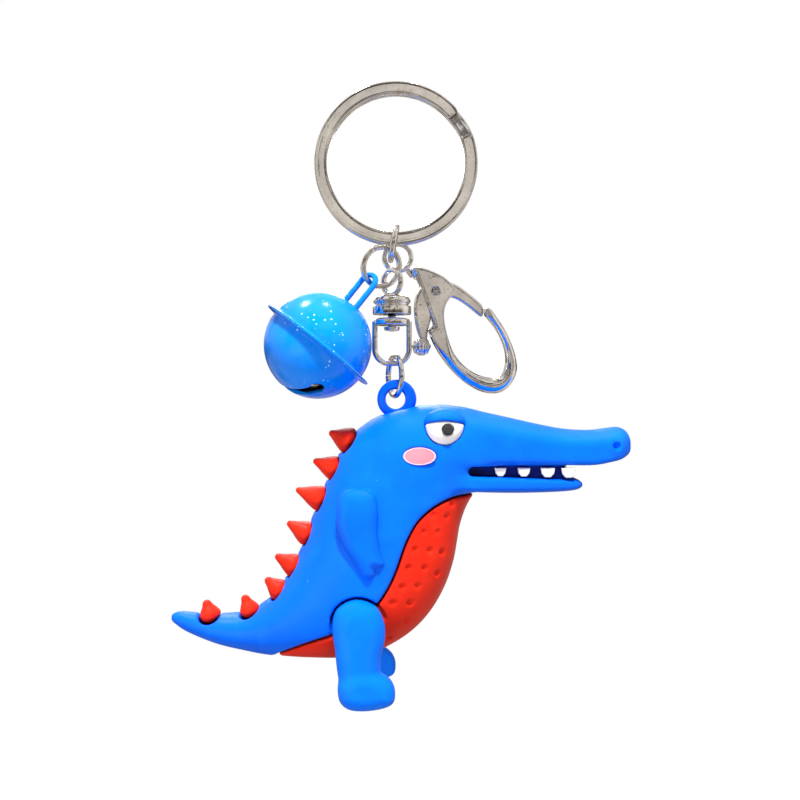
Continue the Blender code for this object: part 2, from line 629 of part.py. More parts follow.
def spike(tip, base, half, grow=0.0, around=10):
    tip, base = Vector((tip[0], 0, tip[1])), Vector((base[0], 0, base[1]))
    tall = (tip - base).length
    profile = [(0, -1.5 - grow), (half * 0.62 + grow, -1.2 - grow), (half + grow, -0.4)]
    profile += [(half * 0.96 + grow, 0.25), (half * 0.66 + grow, tall * 0.42)]
    profile += [(half * 0.36 + grow, tall * 0.72), (0.28 + grow, tall * 0.96), (0, tall + grow)]
    return lathe(profile, base, tip - base, around)


for number, (tip, base, half) in enumerate(SPIKES, 1):
    cut(body, spike(tip, base, half, GAP))
    place(spike(tip, base, half), f"back_spike_{number}", "red_pvc", (base[0], 0, base[1]), 50)

# hanging loop, with a stem let into the top of the head
stem_way = Vector((0.35, 0, -1.0)).normalized()


def hanging_loop(grow):
    centre = (HANG_X + 0.25, 0, HANG_Z)
    half = HANG_HALF + grow
    made = cylinder(centre, (0, 1, 0), HANG_OUTER + grow, -half, half, 32)
    stem = cylinder(centre, stem_way, 1.3 + grow, 2.2, 6.6 + grow, 14)
    return join(made, stem)


cut(body, hanging_loop(GAP))
hole_room = cylinder((HANG_X, 0, HANG_Z), (0, 1, 0), HANG_HOLE + 0.1, -12, 12, 24)
cut(body, hole_room)
tab = hanging_loop(0.0)
cut(tab, cylinder((HANG_X, 0, HANG_Z), (0, 1, 0), HANG_HOLE, -3, 3, 28))
place(tab, "hanging_loop", "blue_pvc", (HANG_X, 0, HANG_Z))

# face
for side, word in ((-1, "right"), (1, "left")):
    ball_at = (8.7, side * 8.3, -61.0)
    half_sizes = (3.5, 2.1, 3.0)
    cut(body, ball(ball_at, tuple(h + GAP for h in half_sizes), 20, 10))
    white = ball(ball_at, half_sizes, 20, 10)
    cut(white, slab([(3, -59.6), (14, -59.6), (14, -55), (3, -55)], [(5, 0), (14, 0)], side))
    cut(white, cylinder((9.2, 0, -61.2), (0, side, 0), 1.05 + GAP, 9.7, 14.0, 14))
    pupil = lathe([(0, 10.0), (1.05, 10.0), (1.0, 10.5), (0.6, 10.7), (0, 10.75)], (9.2, 0, -61.2),
                  (0, side, 0), 14)
    place(white, f"{word}_eye_white", "white_pvc", ball_at)
    place(pupil, f"{word}_pupil", "black_pvc", (9.2, side * 10.2, -61.2))
    cheek_at = (4.3, side * 8.6, -65.9)
    cut(body, ball(cheek_at, (2.9 + GAP, 1.3 + GAP, 1.55 + GAP), 18, 8))
    place(ball(cheek_at, (2.9, 1.3, 1.55), 18, 8), f"{word}_cheek", "pink_pvc", cheek_at)

# teeth: x, half width, y of the inner face, length
TEETH = [(18.7, 1.05, 5.6, 1.55), (22.9, 1.15, 5.5, 1.6), (27.2, 1.3, 5.35, 1.75), (30.9, 1.3, 5.35, 1.85)]
for side, word in ((-1, "right"), (1, "left")):
    for number, (x, half, inner, long) in enumerate(TEETH, 1):
        top = -68.15
        outline = [(x - half, top), (x + half, top), (x + half * 0.75, top - long * 0.6), (x, top - long),
                   (x - half * 0.75, top - long * 0.6)]
        tooth = slab(outline, [(inner, 0.1), (inner + 0.2, 0), (inner + 0.9, 0), (inner + 1.1, 0.15)], side)
        place(tooth, f"{word}_tooth_{number}", "white_pvc", (x, side * inner, top))

place(body, "crocodile_body", "blue_pvc", (HANG_X, 0, HANG_Z), 50)

# legs turn on pegs in the body
LEG = [(-11.1, -95.3), (-10.1, -92.4), (-6.9, -91.0), (-3.4, -92.2), (-2.0, -95.0), (-1.9, -98.0),
       (-2.7, -101.0), (-2.8, -103.6), (-1.7, -105.1), (-0.2, -106.9), (-0.3, -108.4), (-1.4, -109.6),
       (-4.4, -110.1), (-7.6, -110.1), (-9.2, -109.3), (-9.9, -107.6), (-10.1, -104.6), (-10.6, -100.0)]
for side, word in ((-1, "right"), (1, "left")):
    leg = slab(LEG, [(LEG_IN, 0.5), (LEG_IN + 0.6, 0.05), (LEG_OUT - 1.4, 0.0),
                                       (LEG_OUT - 0.5, 0.45), (LEG_OUT, 1.2)], side)
    join(leg, cylinder((HIP[0], 0, HIP[1]), (0, side, 0), 2.0, LEG_IN - 3.3, LEG_IN + 1.0, 16))
    place(leg, f"{word}_leg", "blue_pvc", (HIP[0], side * LEG_IN, HIP[1]), 50)
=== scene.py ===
"""Crocodile keychain: the fine surfaces and finishes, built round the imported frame.

Shapes are drawn in millimetres in the frame's own axes and turned into metres when a piece is made.
Organic pieces are carved as signed distances on a grid, and hardware is swept or turned.
"""
import json
import math

import bmesh
import bpy
import numpy as np
import openvdb
from mathutils import Matrix, Vector


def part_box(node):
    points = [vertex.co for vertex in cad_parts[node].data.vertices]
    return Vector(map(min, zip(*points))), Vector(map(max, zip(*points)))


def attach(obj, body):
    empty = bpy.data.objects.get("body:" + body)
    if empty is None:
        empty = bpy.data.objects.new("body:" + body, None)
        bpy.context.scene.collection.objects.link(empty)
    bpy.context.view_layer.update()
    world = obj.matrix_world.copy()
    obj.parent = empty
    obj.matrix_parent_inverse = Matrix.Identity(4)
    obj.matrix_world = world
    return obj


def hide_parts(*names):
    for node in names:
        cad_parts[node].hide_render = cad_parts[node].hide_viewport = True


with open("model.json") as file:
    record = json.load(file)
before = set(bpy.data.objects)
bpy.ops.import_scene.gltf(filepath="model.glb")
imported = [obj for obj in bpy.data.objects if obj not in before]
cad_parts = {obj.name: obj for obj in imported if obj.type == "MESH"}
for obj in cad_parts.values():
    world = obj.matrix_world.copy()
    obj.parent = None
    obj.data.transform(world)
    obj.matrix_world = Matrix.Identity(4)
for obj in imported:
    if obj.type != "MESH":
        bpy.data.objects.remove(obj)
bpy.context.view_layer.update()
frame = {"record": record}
BODY_OF = {node: body for body, nodes in frame["record"]["behaviour"]["bodies"].items() for node in nodes}
COARSE = 1.0


def corners(node):
    """A node's lowest and highest corner in millimetres."""
    low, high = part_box(node)
    return low * 1000, high * 1000


def middle(node):
    low, high = corners(node)
    return (low + high) / 2


def on_side(low, high, side):
    """A box whose y is above zero, or its mirror image in the middle plane."""
    return (low, high) if side > 0 else ((low[0], -high[1], low[2]), (high[0], -low[1], high[2]))


# ---------------------------------------------------------------- signed distance fields
BAND = 2.6      # distances are true up to this far from a surface


def soft_min(a, b, soft):
    """The smaller of two distances, with a fillet of about the given size where they meet."""
    if soft <= 0:
        return np.minimum(a, b)
    near = np.maximum(soft - np.abs(a - b), 0.0) / soft
    return np.minimum(a, b) - near * near * soft * 0.25


def soft_max(a, b, soft):
    return -soft_min(-a, -b, soft)


class Field:
    """Signed distances on a grid of cubes; negative is inside."""

    def __init__(self, low, high, pitch):
        self.low, self.high, self.pitch = low, high, pitch * COARSE
        self.first = np.floor(np.array(low) / self.pitch).astype(int)
        self.count = np.ceil(np.array(high) / self.pitch).astype(int) - self.first + 1
        self.value = np.full(self.count, BAND, np.float32)

    def part(self, low=None, high=None):
        """The slices and the coordinates of the grid inside a box, or of all of it."""
        low, high = (self.low, self.high) if low is None else (low, high)
        start = np.clip(np.floor(np.array(low) / self.pitch).astype(int) - self.first, 0, self.count)
        stop = np.clip(np.ceil(np.array(high) / self.pitch).astype(int) + 1 - self.first, 0, self.count)
        where = tuple(slice(a, b) for a, b in zip(start, stop))
        axes = [((self.first[i] + np.arange(start[i], stop[i])) * self.pitch).astype(np.float32)
                for i in range(3)]
        return where, np.ix_(*axes)

    def add(self, shape, low=None, high=None, soft=0.0):
        where, place = self.part(low, high)
        self.value[where] = soft_min(self.value[where], shape(*place), soft)

    def take(self, shape, low=None, high=None, soft=0.0):
        where, place = self.part(low, high)
        self.value[where] = soft_max(self.value[where], -shape(*place), soft)

    def both_sides(self, action, shape, low, high, soft=0.0):
        """The same shape on the left and the right: the shape reads the distance from the middle plane."""
        for side in (1, -1):
            action(shape, *on_side(low, high, side), soft)

    def distance_to(self, verts, faces):
        """Distances to a closed mesh, on this grid."""
        triangles = [(f[0], f[i], f[i + 1]) for f in faces for i in range(1, len(f) - 1)]
        grid = openvdb.FloatGrid.createLevelSetFromPolygons(
            np.array([tuple(v) for v in verts], np.float32), triangles=np.array(triangles, np.uint32),
            transform=openvdb.createLinearTransform(self.pitch), halfWidth=BAND / self.pitch)
        out = np.empty(self.count, np.float32)
        grid.copyToArray(out, ijk=tuple(int(v) for v in self.first))
        return out if out.min() < 0 else -out

    def at(self, spots):
        """Distances at points, read between the grid's corners."""
        place = spots / self.pitch - self.first
        corner = np.clip(np.floor(place).astype(int), 0, self.count - 2)
        share = np.clip(place - corner, 0.0, 1.0)
        out = np.zeros(len(spots))
        for step_x, step_y, step_z in np.ndindex(2, 2, 2):
            part = 1.0
            for axis, move in enumerate((step_x, step_y, step_z)):
                part = part * (share[:, axis] if move else 1 - share[:, axis])
            x, y, z = (corner + (step_x, step_y, step_z)).T
            out += part * self.value[x, y, z]
        return out

    def mesh(self):
        """The surface at distance zero as points and quads, faces out."""
        grid = openvdb.FloatGrid(BAND)
        grid.copyFromArray(np.clip(self.value, -BAND, BAND), ijk=tuple(int(v) for v in self.first))
        grid.transform = openvdb.createLinearTransform(self.pitch)
        points, quads = grid.convertToQuads(0.0)
        return points.astype(float), quads.astype(int)


def outline_distance(points, x, z):
    """Signed distance in the x-z plane to a closed outline."""
    best = np.full(np.broadcast_shapes(x.shape, z.shape), 1e9, np.float32)
    sign = np.ones_like(best)
    for (ax, az), (bx, bz) in zip(points, points[1:] + points[:1]):
        ex, ez = bx - ax, bz - az
        wx, wz = x - ax, z - az
        along = np.clip((wx * ex + wz * ez) / (ex * ex + ez * ez), 0.0, 1.0)
        best = np.minimum(best, (wx - ex * along) ** 2 + (wz - ez * along) ** 2)
        above, below = z >= az, z < bz
        turn = ex * wz > ez * wx
        cross = (above & below & turn) | (~above & ~below & ~turn)
        sign = np.where(cross, -sign, sign)
    return sign * np.sqrt(best)


def rounded(flat, across, radius):
    """Where an outline and a pair of faces meet: a solid whose edge is rounded by the radius."""
    u, v = flat + radius, across + radius
    return np.hypot(np.maximum(u, 0), np.maximum(v, 0)) + np.minimum(np.maximum(u, v), 0) - radius


def ellipsoid(x, y, z, centre, radii):
    px, py, pz = (x - centre[0]) / radii[0], (y - centre[1]) / radii[1], (z - centre[2]) / radii[2]
    far = np.sqrt(px * px + py * py + pz * pz) + 1e-6
    slope = np.sqrt((px / radii[0]) ** 2 + (py / radii[1]) ** 2 + (pz / radii[2]) ** 2) + 1e-6
    return far * (far - 1.0) / slope


def from_line(x, y, z, start, axis):
    """How far a point lies along a line in the middle plane, and how far off it."""
    dx, dz = x - start[0], z - start[1]
    along = dx * axis[0] + dz * axis[1]
    return along, np.sqrt((dx - along * axis[0]) ** 2 + y ** 2 + (dz - along * axis[1]) ** 2)


def step(value, start, stop):
    t = np.clip((value - start) / (stop - start), 0.0, 1.0)
    return t * t * (3 - 2 * t)


# ---------------------------------------------------------------- mesh helpers
def catmull(points, steps, closed=False):
    """A smooth run through points of any dimension."""
    out, count = [], len(points)
    for i in range(count if closed else count - 1):
        if closed:
            a, b, c, d = (np.array(points[(i + k) % count], float) for k in (-1, 0, 1, 2))
        else:
            a, b, c, d = (np.array(points[min(max(i + k, 0), count - 1)], float) for k in (-1, 0, 1, 2))
        for s in range(steps):
            t = s / steps
            out.append(tuple(0.5 * (2 * b + (c - a) * t + (2 * a - 5 * b + 4 * c - d) * t * t
                                    + (3 * b - a - 3 * c + d) * t ** 3)))
    if not closed:
        out.append(tuple(points[-1]))
    return out


def skin(rings, closed=False):
    """A surface through rings of equal length, capped with fans unless it closes on itself."""
    count = len(rings[0])
    verts = [tuple(v) for ring in rings for v in ring]
    faces = []
    for i in range(len(rings) if closed else len(rings) - 1):
        a, b = i * count, (i + 1) % len(rings) * count
        faces += [(a + j, a + (j + 1) % count, b + (j + 1) % count, b + j) for j in range(count)]
    if not closed:
        for start, turn in ((0, -1), ((len(rings) - 1) * count, 1)):
            centre = np.mean(np.array(verts[start:start + count]), axis=0)
            verts.append(tuple(centre))
            for j in range(count):
                pair = (start + j, start + (j + 1) % count)
                faces.append((*pair[::turn], len(verts) - 1))
    return verts, faces


def lathe(profile, base, axis, around=96, squeeze=1.0):
    """Turns (radius, height) pairs about an axis; a radius of zero is a point on the axis."""
    axis = Vector(axis).normalized()
    side = axis.cross(Vector((0, 1, 0)) if abs(axis.y) < 0.9 else Vector((1, 0, 0))).normalized()
    other = axis.cross(side)
    verts, rows, faces = [], [], []
    for radius, height in profile:
        centre = Vector(base) + axis * height
        if radius <= 0:
            rows.append([len(verts)] * around)
            verts.append(tuple(centre))
            continue
        rows.append(list(range(len(verts), len(verts) + around)))
        for k in range(around):
            t = 2 * math.pi * k / around
            verts.append(tuple(centre + (side * math.cos(t) + other * math.sin(t) * squeeze) * radius))
    last = len(rows) if profile[0][0] > 0 else len(rows) - 1
    for i in range(last):
        low, high = rows[i], rows[(i + 1) % len(rows)]
        for j in range(around):
            k = (j + 1) % around
            face = list(dict.fromkeys((low[j], low[k], high[k], high[j])))
            if len(face) > 2:
                faces.append(tuple(face))
    return verts, faces


def sweep(path, section, side, closed=False):
    """A section of (out, across) pairs carried along a path; side is roughly the across direction."""
    path = [Vector(p) for p in path]
    rings = []
    for k, point in enumerate(path):
        if closed:
            ahead = path[(k + 1) % len(path)] - path[k - 1]
        else:
            ahead = path[min(k + 1, len(path) - 1)] - path[max(k - 1, 0)]
        ahead.normalize()
        across = (Vector(side) - ahead * ahead.dot(Vector(side))).normalized()
        out = across.cross(ahead)
        rings.append([point + out * a + across * b for a, b in section])
    return skin(rings, closed)


def arc(centre, a, b, count, start=0.0, stop=2 * math.pi):
    """Points from the angle start to the angle stop; a and b are the radii at 0 and 90 degrees."""
    centre, a, b = Vector(centre), Vector(a), Vector(b)
    angles = [start + (stop - start) * k / count for k in range(count + 1)]
    return [centre + a * math.cos(t) + b * math.sin(t) for t in angles]


def round_section(radius, count=16, flat=1.0):
    return [(radius * math.cos(2 * math.pi * k / count), radius * flat * math.sin(2 * math.pi * k / count))
            for k in range(count)]


def softened(profile, radius, steps=4):
    """Rounds every corner of an open (radius, height) profile."""
    out = [profile[0]]
    for a, b, c in zip(profile, profile[1:], profile[2:]):
        a, b, c = (Vector(v) for v in (a, b, c))
        reach = min(radius, (a - b).length * 0.45, (c - b).length * 0.45)
        start, stop = b + (a - b).normalized() * reach, b + (c - b).normalized() * reach
        for k in range(steps + 1):
            t = k / steps
            out.append(tuple(start * (1 - t) ** 2 + b * (2 * t * (1 - t)) + stop * t * t))
    out.append(profile[-1])
    return out


def new_object(name, verts, faces):
    mesh = bpy.data.meshes.new(name)
    mesh.from_pydata([tuple(float(c) for c in v) for v in verts], [],
                     [tuple(int(i) for i in f) for f in faces])
    work = bmesh.new()
    work.from_mesh(mesh)
    bmesh.ops.recalc_face_normals(work, faces=work.faces)
    if work.calc_volume(signed=True) < 0:
        bmesh.ops.reverse_faces(work, faces=work.faces)
    work.to_mesh(mesh)
    work.free()
    made = bpy.data.objects.new(name, mesh)
    bpy.context.scene.collection.objects.link(made)
    return made


def settle(work):
    """Applies an object's modifiers."""
    bpy.context.view_layer.update()
    graph = bpy.context.evaluated_depsgraph_get()
    mesh = bpy.data.meshes.new_from_object(work.evaluated_get(graph))
    work.modifiers.clear()
    work.data = mesh
    return work


def combine(target, part, operation):
    """A Boolean step between a closed mesh and a closed part, given as (verts, faces)."""
    tool = new_object("tool", *part)
    change = target.modifiers.new("step", "BOOLEAN")
    change.operation, change.solver, change.object = operation, "MANIFOLD", tool
    settle(target)
    bpy.data.objects.remove(tool, do_unlink=True)


def fuse(parts):
    """Joins closed meshes, given as (verts, faces), into one surface."""
    whole = new_object("work", *parts[0])
    for part in parts[1:]:
        combine(whole, part, "UNION")
    return whole


def relax(work, rounds, share=0.5):
    """Evens out the grid's steps with a light smoothing."""
    change = work.modifiers.new("relax", "SMOOTH")
    change.iterations, change.factor = rounds, share
    return settle(work)


def finish_piece(work, node, finish, angle=40.0, transform=None):
    """Turns millimetres into metres, gives the finish and hangs the piece on its node's body.

    work is an object, or (verts, faces). Edges sharper than the angle stay sharp.
    """
    if isinstance(work, tuple):
        work = new_object("work", *work)
    if transform is not None:
        work.data.transform(transform)
    work.data.transform(Matrix.Scale(0.001, 4))
    work.name = node + "_fine"
    work.data.name = work.name
    work.data.materials.clear()
    work.data.materials.append(finish)
    work.data.shade_smooth()
    if angle < 180:
        work.data.set_sharp_from_angle(angle=math.radians(angle))
    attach(work, BODY_OF[node])
    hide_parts(node)


def carved(field, rounds=1):
    return relax(new_object("carved", *field.mesh()), rounds)


def weight(work, name, values):
    """Stores a share from 0 to 1 on every point, for the finish to read."""
    layer = work.data.attributes.new(name, "FLOAT", "POINT")
    layer.data.foreach_set("value", np.asarray(values, np.float32))


def points_of(work):
    out = np.empty(len(work.data.vertices) * 3, np.float32)
    work.data.vertices.foreach_get("co", out)
    return out.reshape(-1, 3)


# ---------------------------------------------------------------- finishes
class Tree:
    """A few shorthands for building nodes."""

    def __init__(self, owner, coordinates="Object"):
        owner.use_nodes = True
        self.owner = owner
        self.nodes, self.links = owner.node_tree.nodes, owner.node_tree.links
        self.shader = self.nodes.get("Principled BSDF")
        self.coordinates = self.nodes.new("ShaderNodeTexCoord").outputs[coordinates]

    def node(self, kind, *values, **named):
        """A node whose inputs are linked to sockets or set; an underscore in a name is a space."""
        made = self.nodes.new("ShaderNode" + kind)
        for key, value in [*enumerate(values), *((k.replace("_", " "), v) for k, v in named.items())]:
            if isinstance(value, bpy.types.NodeSocket):
                self.links.new(value, made.inputs[key])
            else:
                made.inputs[key].default_value = value
        return made

    def noise(self, scale, detail=3.0, rough=0.5, distortion=0.0):
        return self.node("TexNoise", Vector=self.coordinates, Scale=scale, Detail=detail,
                         Roughness=rough, Distortion=distortion).outputs["Fac"]

    def specks(self, scale, size):
        """One where a small dot lies, at scattered points."""
        dots = self.node("TexVoronoi", Vector=self.coordinates, Scale=scale)
        return self.spread(dots.outputs["Distance"], size, size * 0.6, 0.0, 1.0)

    def spread(self, value, low, high, to_low=0.0, to_high=1.0):
        return self.node("MapRange", Value=value, From_Min=low, From_Max=high,
                         To_Min=to_low, To_Max=to_high).outputs["Result"]

    def math(self, operation, *values):
        node = self.node("Math", *values)
        node.operation = operation
        return node.outputs["Value"]

    def times(self, a, b):
        return self.math("MULTIPLY", a, b)

    def mix(self, share, a, b):
        """Colours a and b, each a socket or a triple, mixed by the share."""
        node = self.node("Mix")
        node.data_type = "RGBA"
        self.links.new(share, node.inputs["Factor"])
        for slot, colour in (("A", a), ("B", b)):
            socket = [s for s in node.inputs if s.name == slot and s.type == "RGBA"][0]
            if isinstance(colour, tuple):
                socket.default_value = (*colour, 1.0)
            else:
                self.links.new(colour, socket)
        return [s for s in node.outputs if s.type == "RGBA"][0]

    def attribute(self, name):
        node = self.node("Attribute")
        node.attribute_name = name
        return node.outputs["Fac"]

    def bump(self, height, distance, strength, below=None):
        node = self.node("Bump", Height=height, Distance=distance, Strength=strength)
        if below is not None:
            self.links.new(below, node.inputs["Normal"])
        return node.outputs["Normal"]

    def settings(self, **values):
        """Plain values on the shader; an underscore stands for a space."""
        for name, value in values.items():
            self.shader.inputs[name.replace("_", " ")].default_value = value

    def wire(self, colour, rough=None, normal=None):
        for name, socket in (("Base Color", colour), ("Roughness", rough), ("Normal", normal)):
            if socket is not None:
                self.links.new(socket, self.shader.inputs[name])
        return self.owner


def moulded(name, base, lighter, darker, rough=0.42, marks=(0.85, 0.93, 1.0), share=None, other=None):
    """Soft PVC from a mould: faint flow mottling, a satin micro grain, dust and a few rubbed spots.

    share names a point attribute, and where that is one, the other colour takes over.
    """
    tree = Tree(bpy.data.materials.new(name))
    flow = tree.spread(tree.noise(95, 4.0, 0.55, 0.4), 0.32, 0.7)
    colour = tree.mix(flow, darker, base)
    haze = tree.spread(tree.noise(260, 2.0), 0.55, 0.8, 0.0, 0.35)
    colour = tree.mix(haze, colour, lighter)
    dust = tree.times(tree.specks(420, 0.05), tree.spread(tree.noise(60, 1.0), 0.52, 0.64))
    colour = tree.mix(tree.spread(dust, 0.0, 1.0, 0.0, 0.4), colour, marks)
    # Where share is one the other colour takes over: painted shade on the body, a pale rim on the cheeks.
    if share:
        colour = tree.mix(tree.attribute(share), colour, other)
    roughness = tree.spread(tree.noise(140, 3.0), 0.3, 0.7, rough - 0.06, rough + 0.08)
    grain = tree.bump(tree.noise(5200, 2.0, 0.6), 0.00002, 0.45)
    skin_bump = tree.bump(tree.noise(420, 3.0, 0.5), 0.00006, 0.35, grain)
    tree.settings(Specular_IOR_Level=0.18)
    return tree.wire(colour, roughness, skin_bump)


def nickel(name="nickel", base=(0.78, 0.745, 0.70), rough=0.09, wave=0.32):
    """Nickel plate: faint waves, small pits, stains and a warm bloom."""
    tree = Tree(bpy.data.materials.new(name))
    tree.settings(Metallic=1.0)
    bloom = tree.spread(tree.noise(170, 4.0, 0.6), 0.35, 0.7)
    colour = tree.mix(bloom, tuple(c * 0.86 for c in base), tuple(min(c * 1.18, 1.0) for c in base))
    stain = tree.times(tree.spread(tree.noise(520, 3.0), 0.56, 0.7),
                       tree.spread(tree.noise(90), 0.45, 0.6))
    colour = tree.mix(stain, colour, (0.50, 0.40, 0.34))
    roughness = tree.spread(tree.noise(900, 4.0, 0.65), 0.3, 0.75, rough * 0.55, rough * 1.7)
    pits = tree.bump(tree.specks(1500, 0.16), 0.00002, 0.5)
    waves = tree.bump(tree.noise(620, 2.0), 0.00009, wave, pits)
    return tree.wire(colour, roughness, waves)


def bell_blue():
    """Sky-blue enamel over pressed metal: orange peel, chipped white specks, short scuffs, and painted shade,
    near black, on the inner faces.
    """
    tree = Tree(bpy.data.materials.new("bell_paint"))
    tree.settings(Specular_IOR_Level=0.2, Coat_Weight=0.3, Coat_Roughness=0.06)
    flow = tree.spread(tree.noise(120, 3.0), 0.3, 0.7)
    colour = tree.mix(flow, (0.0, 0.185, 0.80), (0.0, 0.23, 0.90))
    chips = tree.times(tree.specks(900, 0.17), tree.spread(tree.noise(150, 2.0), 0.50, 0.57))
    colour = tree.mix(chips, colour, (0.50, 0.82, 1.0))
    scuffs = tree.spread(tree.noise(700, 5.0, 0.7, 1.6), 0.66, 0.72, 0.0, 0.5)
    colour = tree.mix(scuffs, colour, (0.25, 0.62, 0.98))
    # Painted shade: the inner faces go near black.
    colour = tree.mix(tree.attribute("inside"), colour, (0.004, 0.006, 0.010))
    roughness = tree.spread(tree.noise(300, 3.0), 0.3, 0.7, 0.16, 0.3)
    peel = tree.bump(tree.noise(900, 2.0), 0.00004, 0.25, tree.bump(chips, 0.00003, 0.5))
    return tree.wire(colour, roughness, peel)


NICKEL = nickel()
CAST_NICKEL = nickel("cast_nickel", wave=0.75)
STEEL = nickel("steel", (0.58, 0.58, 0.58), 0.22)
BELL_PAINT = bell_blue()
# The body carries painted shade, near black, in the mouth slot and deep in the seams and sockets.
BODY_BLUE = moulded("blue_pvc", (0.0, 0.140, 0.92), (0.004, 0.188, 1.0), (0.0, 0.114, 0.83),
                    share="painted_shade", other=(0.0, 0.008, 0.15))
# The legs get a lighter copy of the body's blue: painted light.
LEG_LIT_BLUE = moulded("leg_lit_blue", (0.0, 0.170, 0.95), (0.010, 0.24, 1.0), (0.0, 0.140, 0.88))
# The hanging loop gets a darker copy of the body's blue: painted shade.
LOOP_SHADED_BLUE = moulded("loop_shaded_blue", (0.0, 0.082, 0.62), (0.004, 0.11, 0.72), (0.0, 0.066, 0.54))
RED = moulded("red_pvc", (0.76, 0.023, 0.007), (0.86, 0.052, 0.022), (0.66, 0.016, 0.005),
              marks=(1.0, 0.6, 0.45))
WHITE = moulded("white_pvc", (0.86, 0.85, 0.83), (0.92, 0.91, 0.90), (0.79, 0.77, 0.74), 0.34,
                (0.6, 0.56, 0.5))
BLACK = moulded("black_pvc", (0.040, 0.040, 0.042), (0.10, 0.10, 0.10), (0.02, 0.02, 0.022), 0.3,
                (0.5, 0.5, 0.5))
PINK = moulded("pink_pvc", (0.84, 0.24, 0.30), (0.92, 0.32, 0.38), (0.80, 0.21, 0.27),
               marks=(1.0, 0.8, 0.85), share="rim", other=(0.86, 0.60, 0.72))

# ---------------------------------------------------------------- split ring and jump rings
RING_OUTER, RING_BAND, RING_COIL, GAP = 15.0, 2.4, 1.0, 0.3
RING_CENTRE = middle("split_ring")


def band_section():
    """The flat band: rounded corners, with a fine bead pressed up along both edges."""
    half_w, half_t, corner = RING_BAND / 2, RING_COIL / 2, 0.24
    bend = arc((half_w - corner, half_t - corner, 0), (corner, 0, 0), (0, corner, 0), 5, 0, math.pi / 2)
    quarter = [(p.x, p.y) for p in bend] + [(half_w - 0.40, half_t - 0.07), (half_w * 0.4, half_t - 0.05)]
    upper = quarter + [(-a, b) for a, b in quarter[::-1]]
    return upper + [(-a, -b) for a, b in upper]


def split_ring():
    """Two flat coils, one behind the other, joined by a stretch that crosses over."""
    shift = RING_COIL / 2 + GAP / 2
    cross, first, fine = 22.0, 40.0, 2.5        # degrees: the crossing, the coil's end, one step
    flat = 360 - cross
    count = round(flat / fine)
    run = [(first + flat * k / count, -shift) for k in range(count + 1)]
    for k in range(1, 16):
        t = k / 16
        run.append((first + flat + cross * t, -shift + 2 * shift * (3 * t * t - 2 * t ** 3)))
    run += [(first + 360 + flat * k / count, shift) for k in range(count + 1)]
    radius = RING_OUTER - RING_BAND / 2
    rings = []
    ends = {0: 0.8, 1: 0.95, len(run) - 2: 0.95, len(run) - 1: 0.8}     # the cut ends are a little rounded
    for i, (angle, y) in enumerate(run):
        t, thin = math.radians(angle), ends.get(i, 1.0)
        rings.append([(RING_CENTRE.x + (radius + a * thin) * math.cos(t), y + b * thin,
                       RING_CENTRE.z + (radius + a * thin) * math.sin(t)) for a, b in band_section()])
    finish_piece(skin(rings), "split_ring", NICKEL, 50)


split_ring()


def jump_ring(node, centre, a, b, radius, wire, cut_at, count=110):
    """A ring of round wire in the plane of a and b, closed up to a hairline saw cut."""
    a, b = Vector(a).normalized(), Vector(b).normalized()
    half_cut = 0.05 / radius
    path = arc(centre, a * radius, b * radius, count, cut_at + half_cut, cut_at + 2 * math.pi - half_cut)
    finish_piece(sweep(path, round_section(wire), a.cross(b)), node, NICKEL, 50)


TOP_LINK_LEAN, BELL_LINK_LEAN = math.radians(10.1), math.radians(13.5)
LINK_TURN, LOOP_TURN, FIGURE_LINK_TURN = math.radians(25.7), math.radians(45.8), math.radians(20.0)
jump_ring("top_link", middle("top_link"), (0, 1, 0), (math.sin(TOP_LINK_LEAN), 0, math.cos(TOP_LINK_LEAN)),
          3.125, 0.55, 0.1)
bell_side = Vector((math.cos(LINK_TURN), math.sin(LINK_TURN), 0))
bell_up = Vector((0, -math.sin(BELL_LINK_LEAN), math.cos(BELL_LINK_LEAN)))
bell_up = (bell_up - bell_side * bell_side.dot(bell_up)).normalized()
jump_ring("bell_link", middle("bell_link"), bell_side, bell_up, 3.6, 0.52, 2.2)
jump_ring("figure_link", middle("figure_link"), (math.sin(FIGURE_LINK_TURN), -math.cos(FIGURE_LINK_TURN), 0),
          (0, 0, 1), 3.65, 0.5, 3.1)

# ---------------------------------------------------------------- swivel
SWIVEL_X = middle("swivel_rivet").x
CAP_TOP, CAP_RIM, CAP_R = -36.7, corners("swivel_upper_loop")[0].z, 3.55
DISC_TOP, DISC_BOTTOM, DISC_R = corners("swivel_lower_bail")[1].z, -42.3, 3.3
LOOP_CENTRE, LOOP_R, LOOP_WIRE = (SWIVEL_X, 0.0, -34.3), 2.3, 0.475


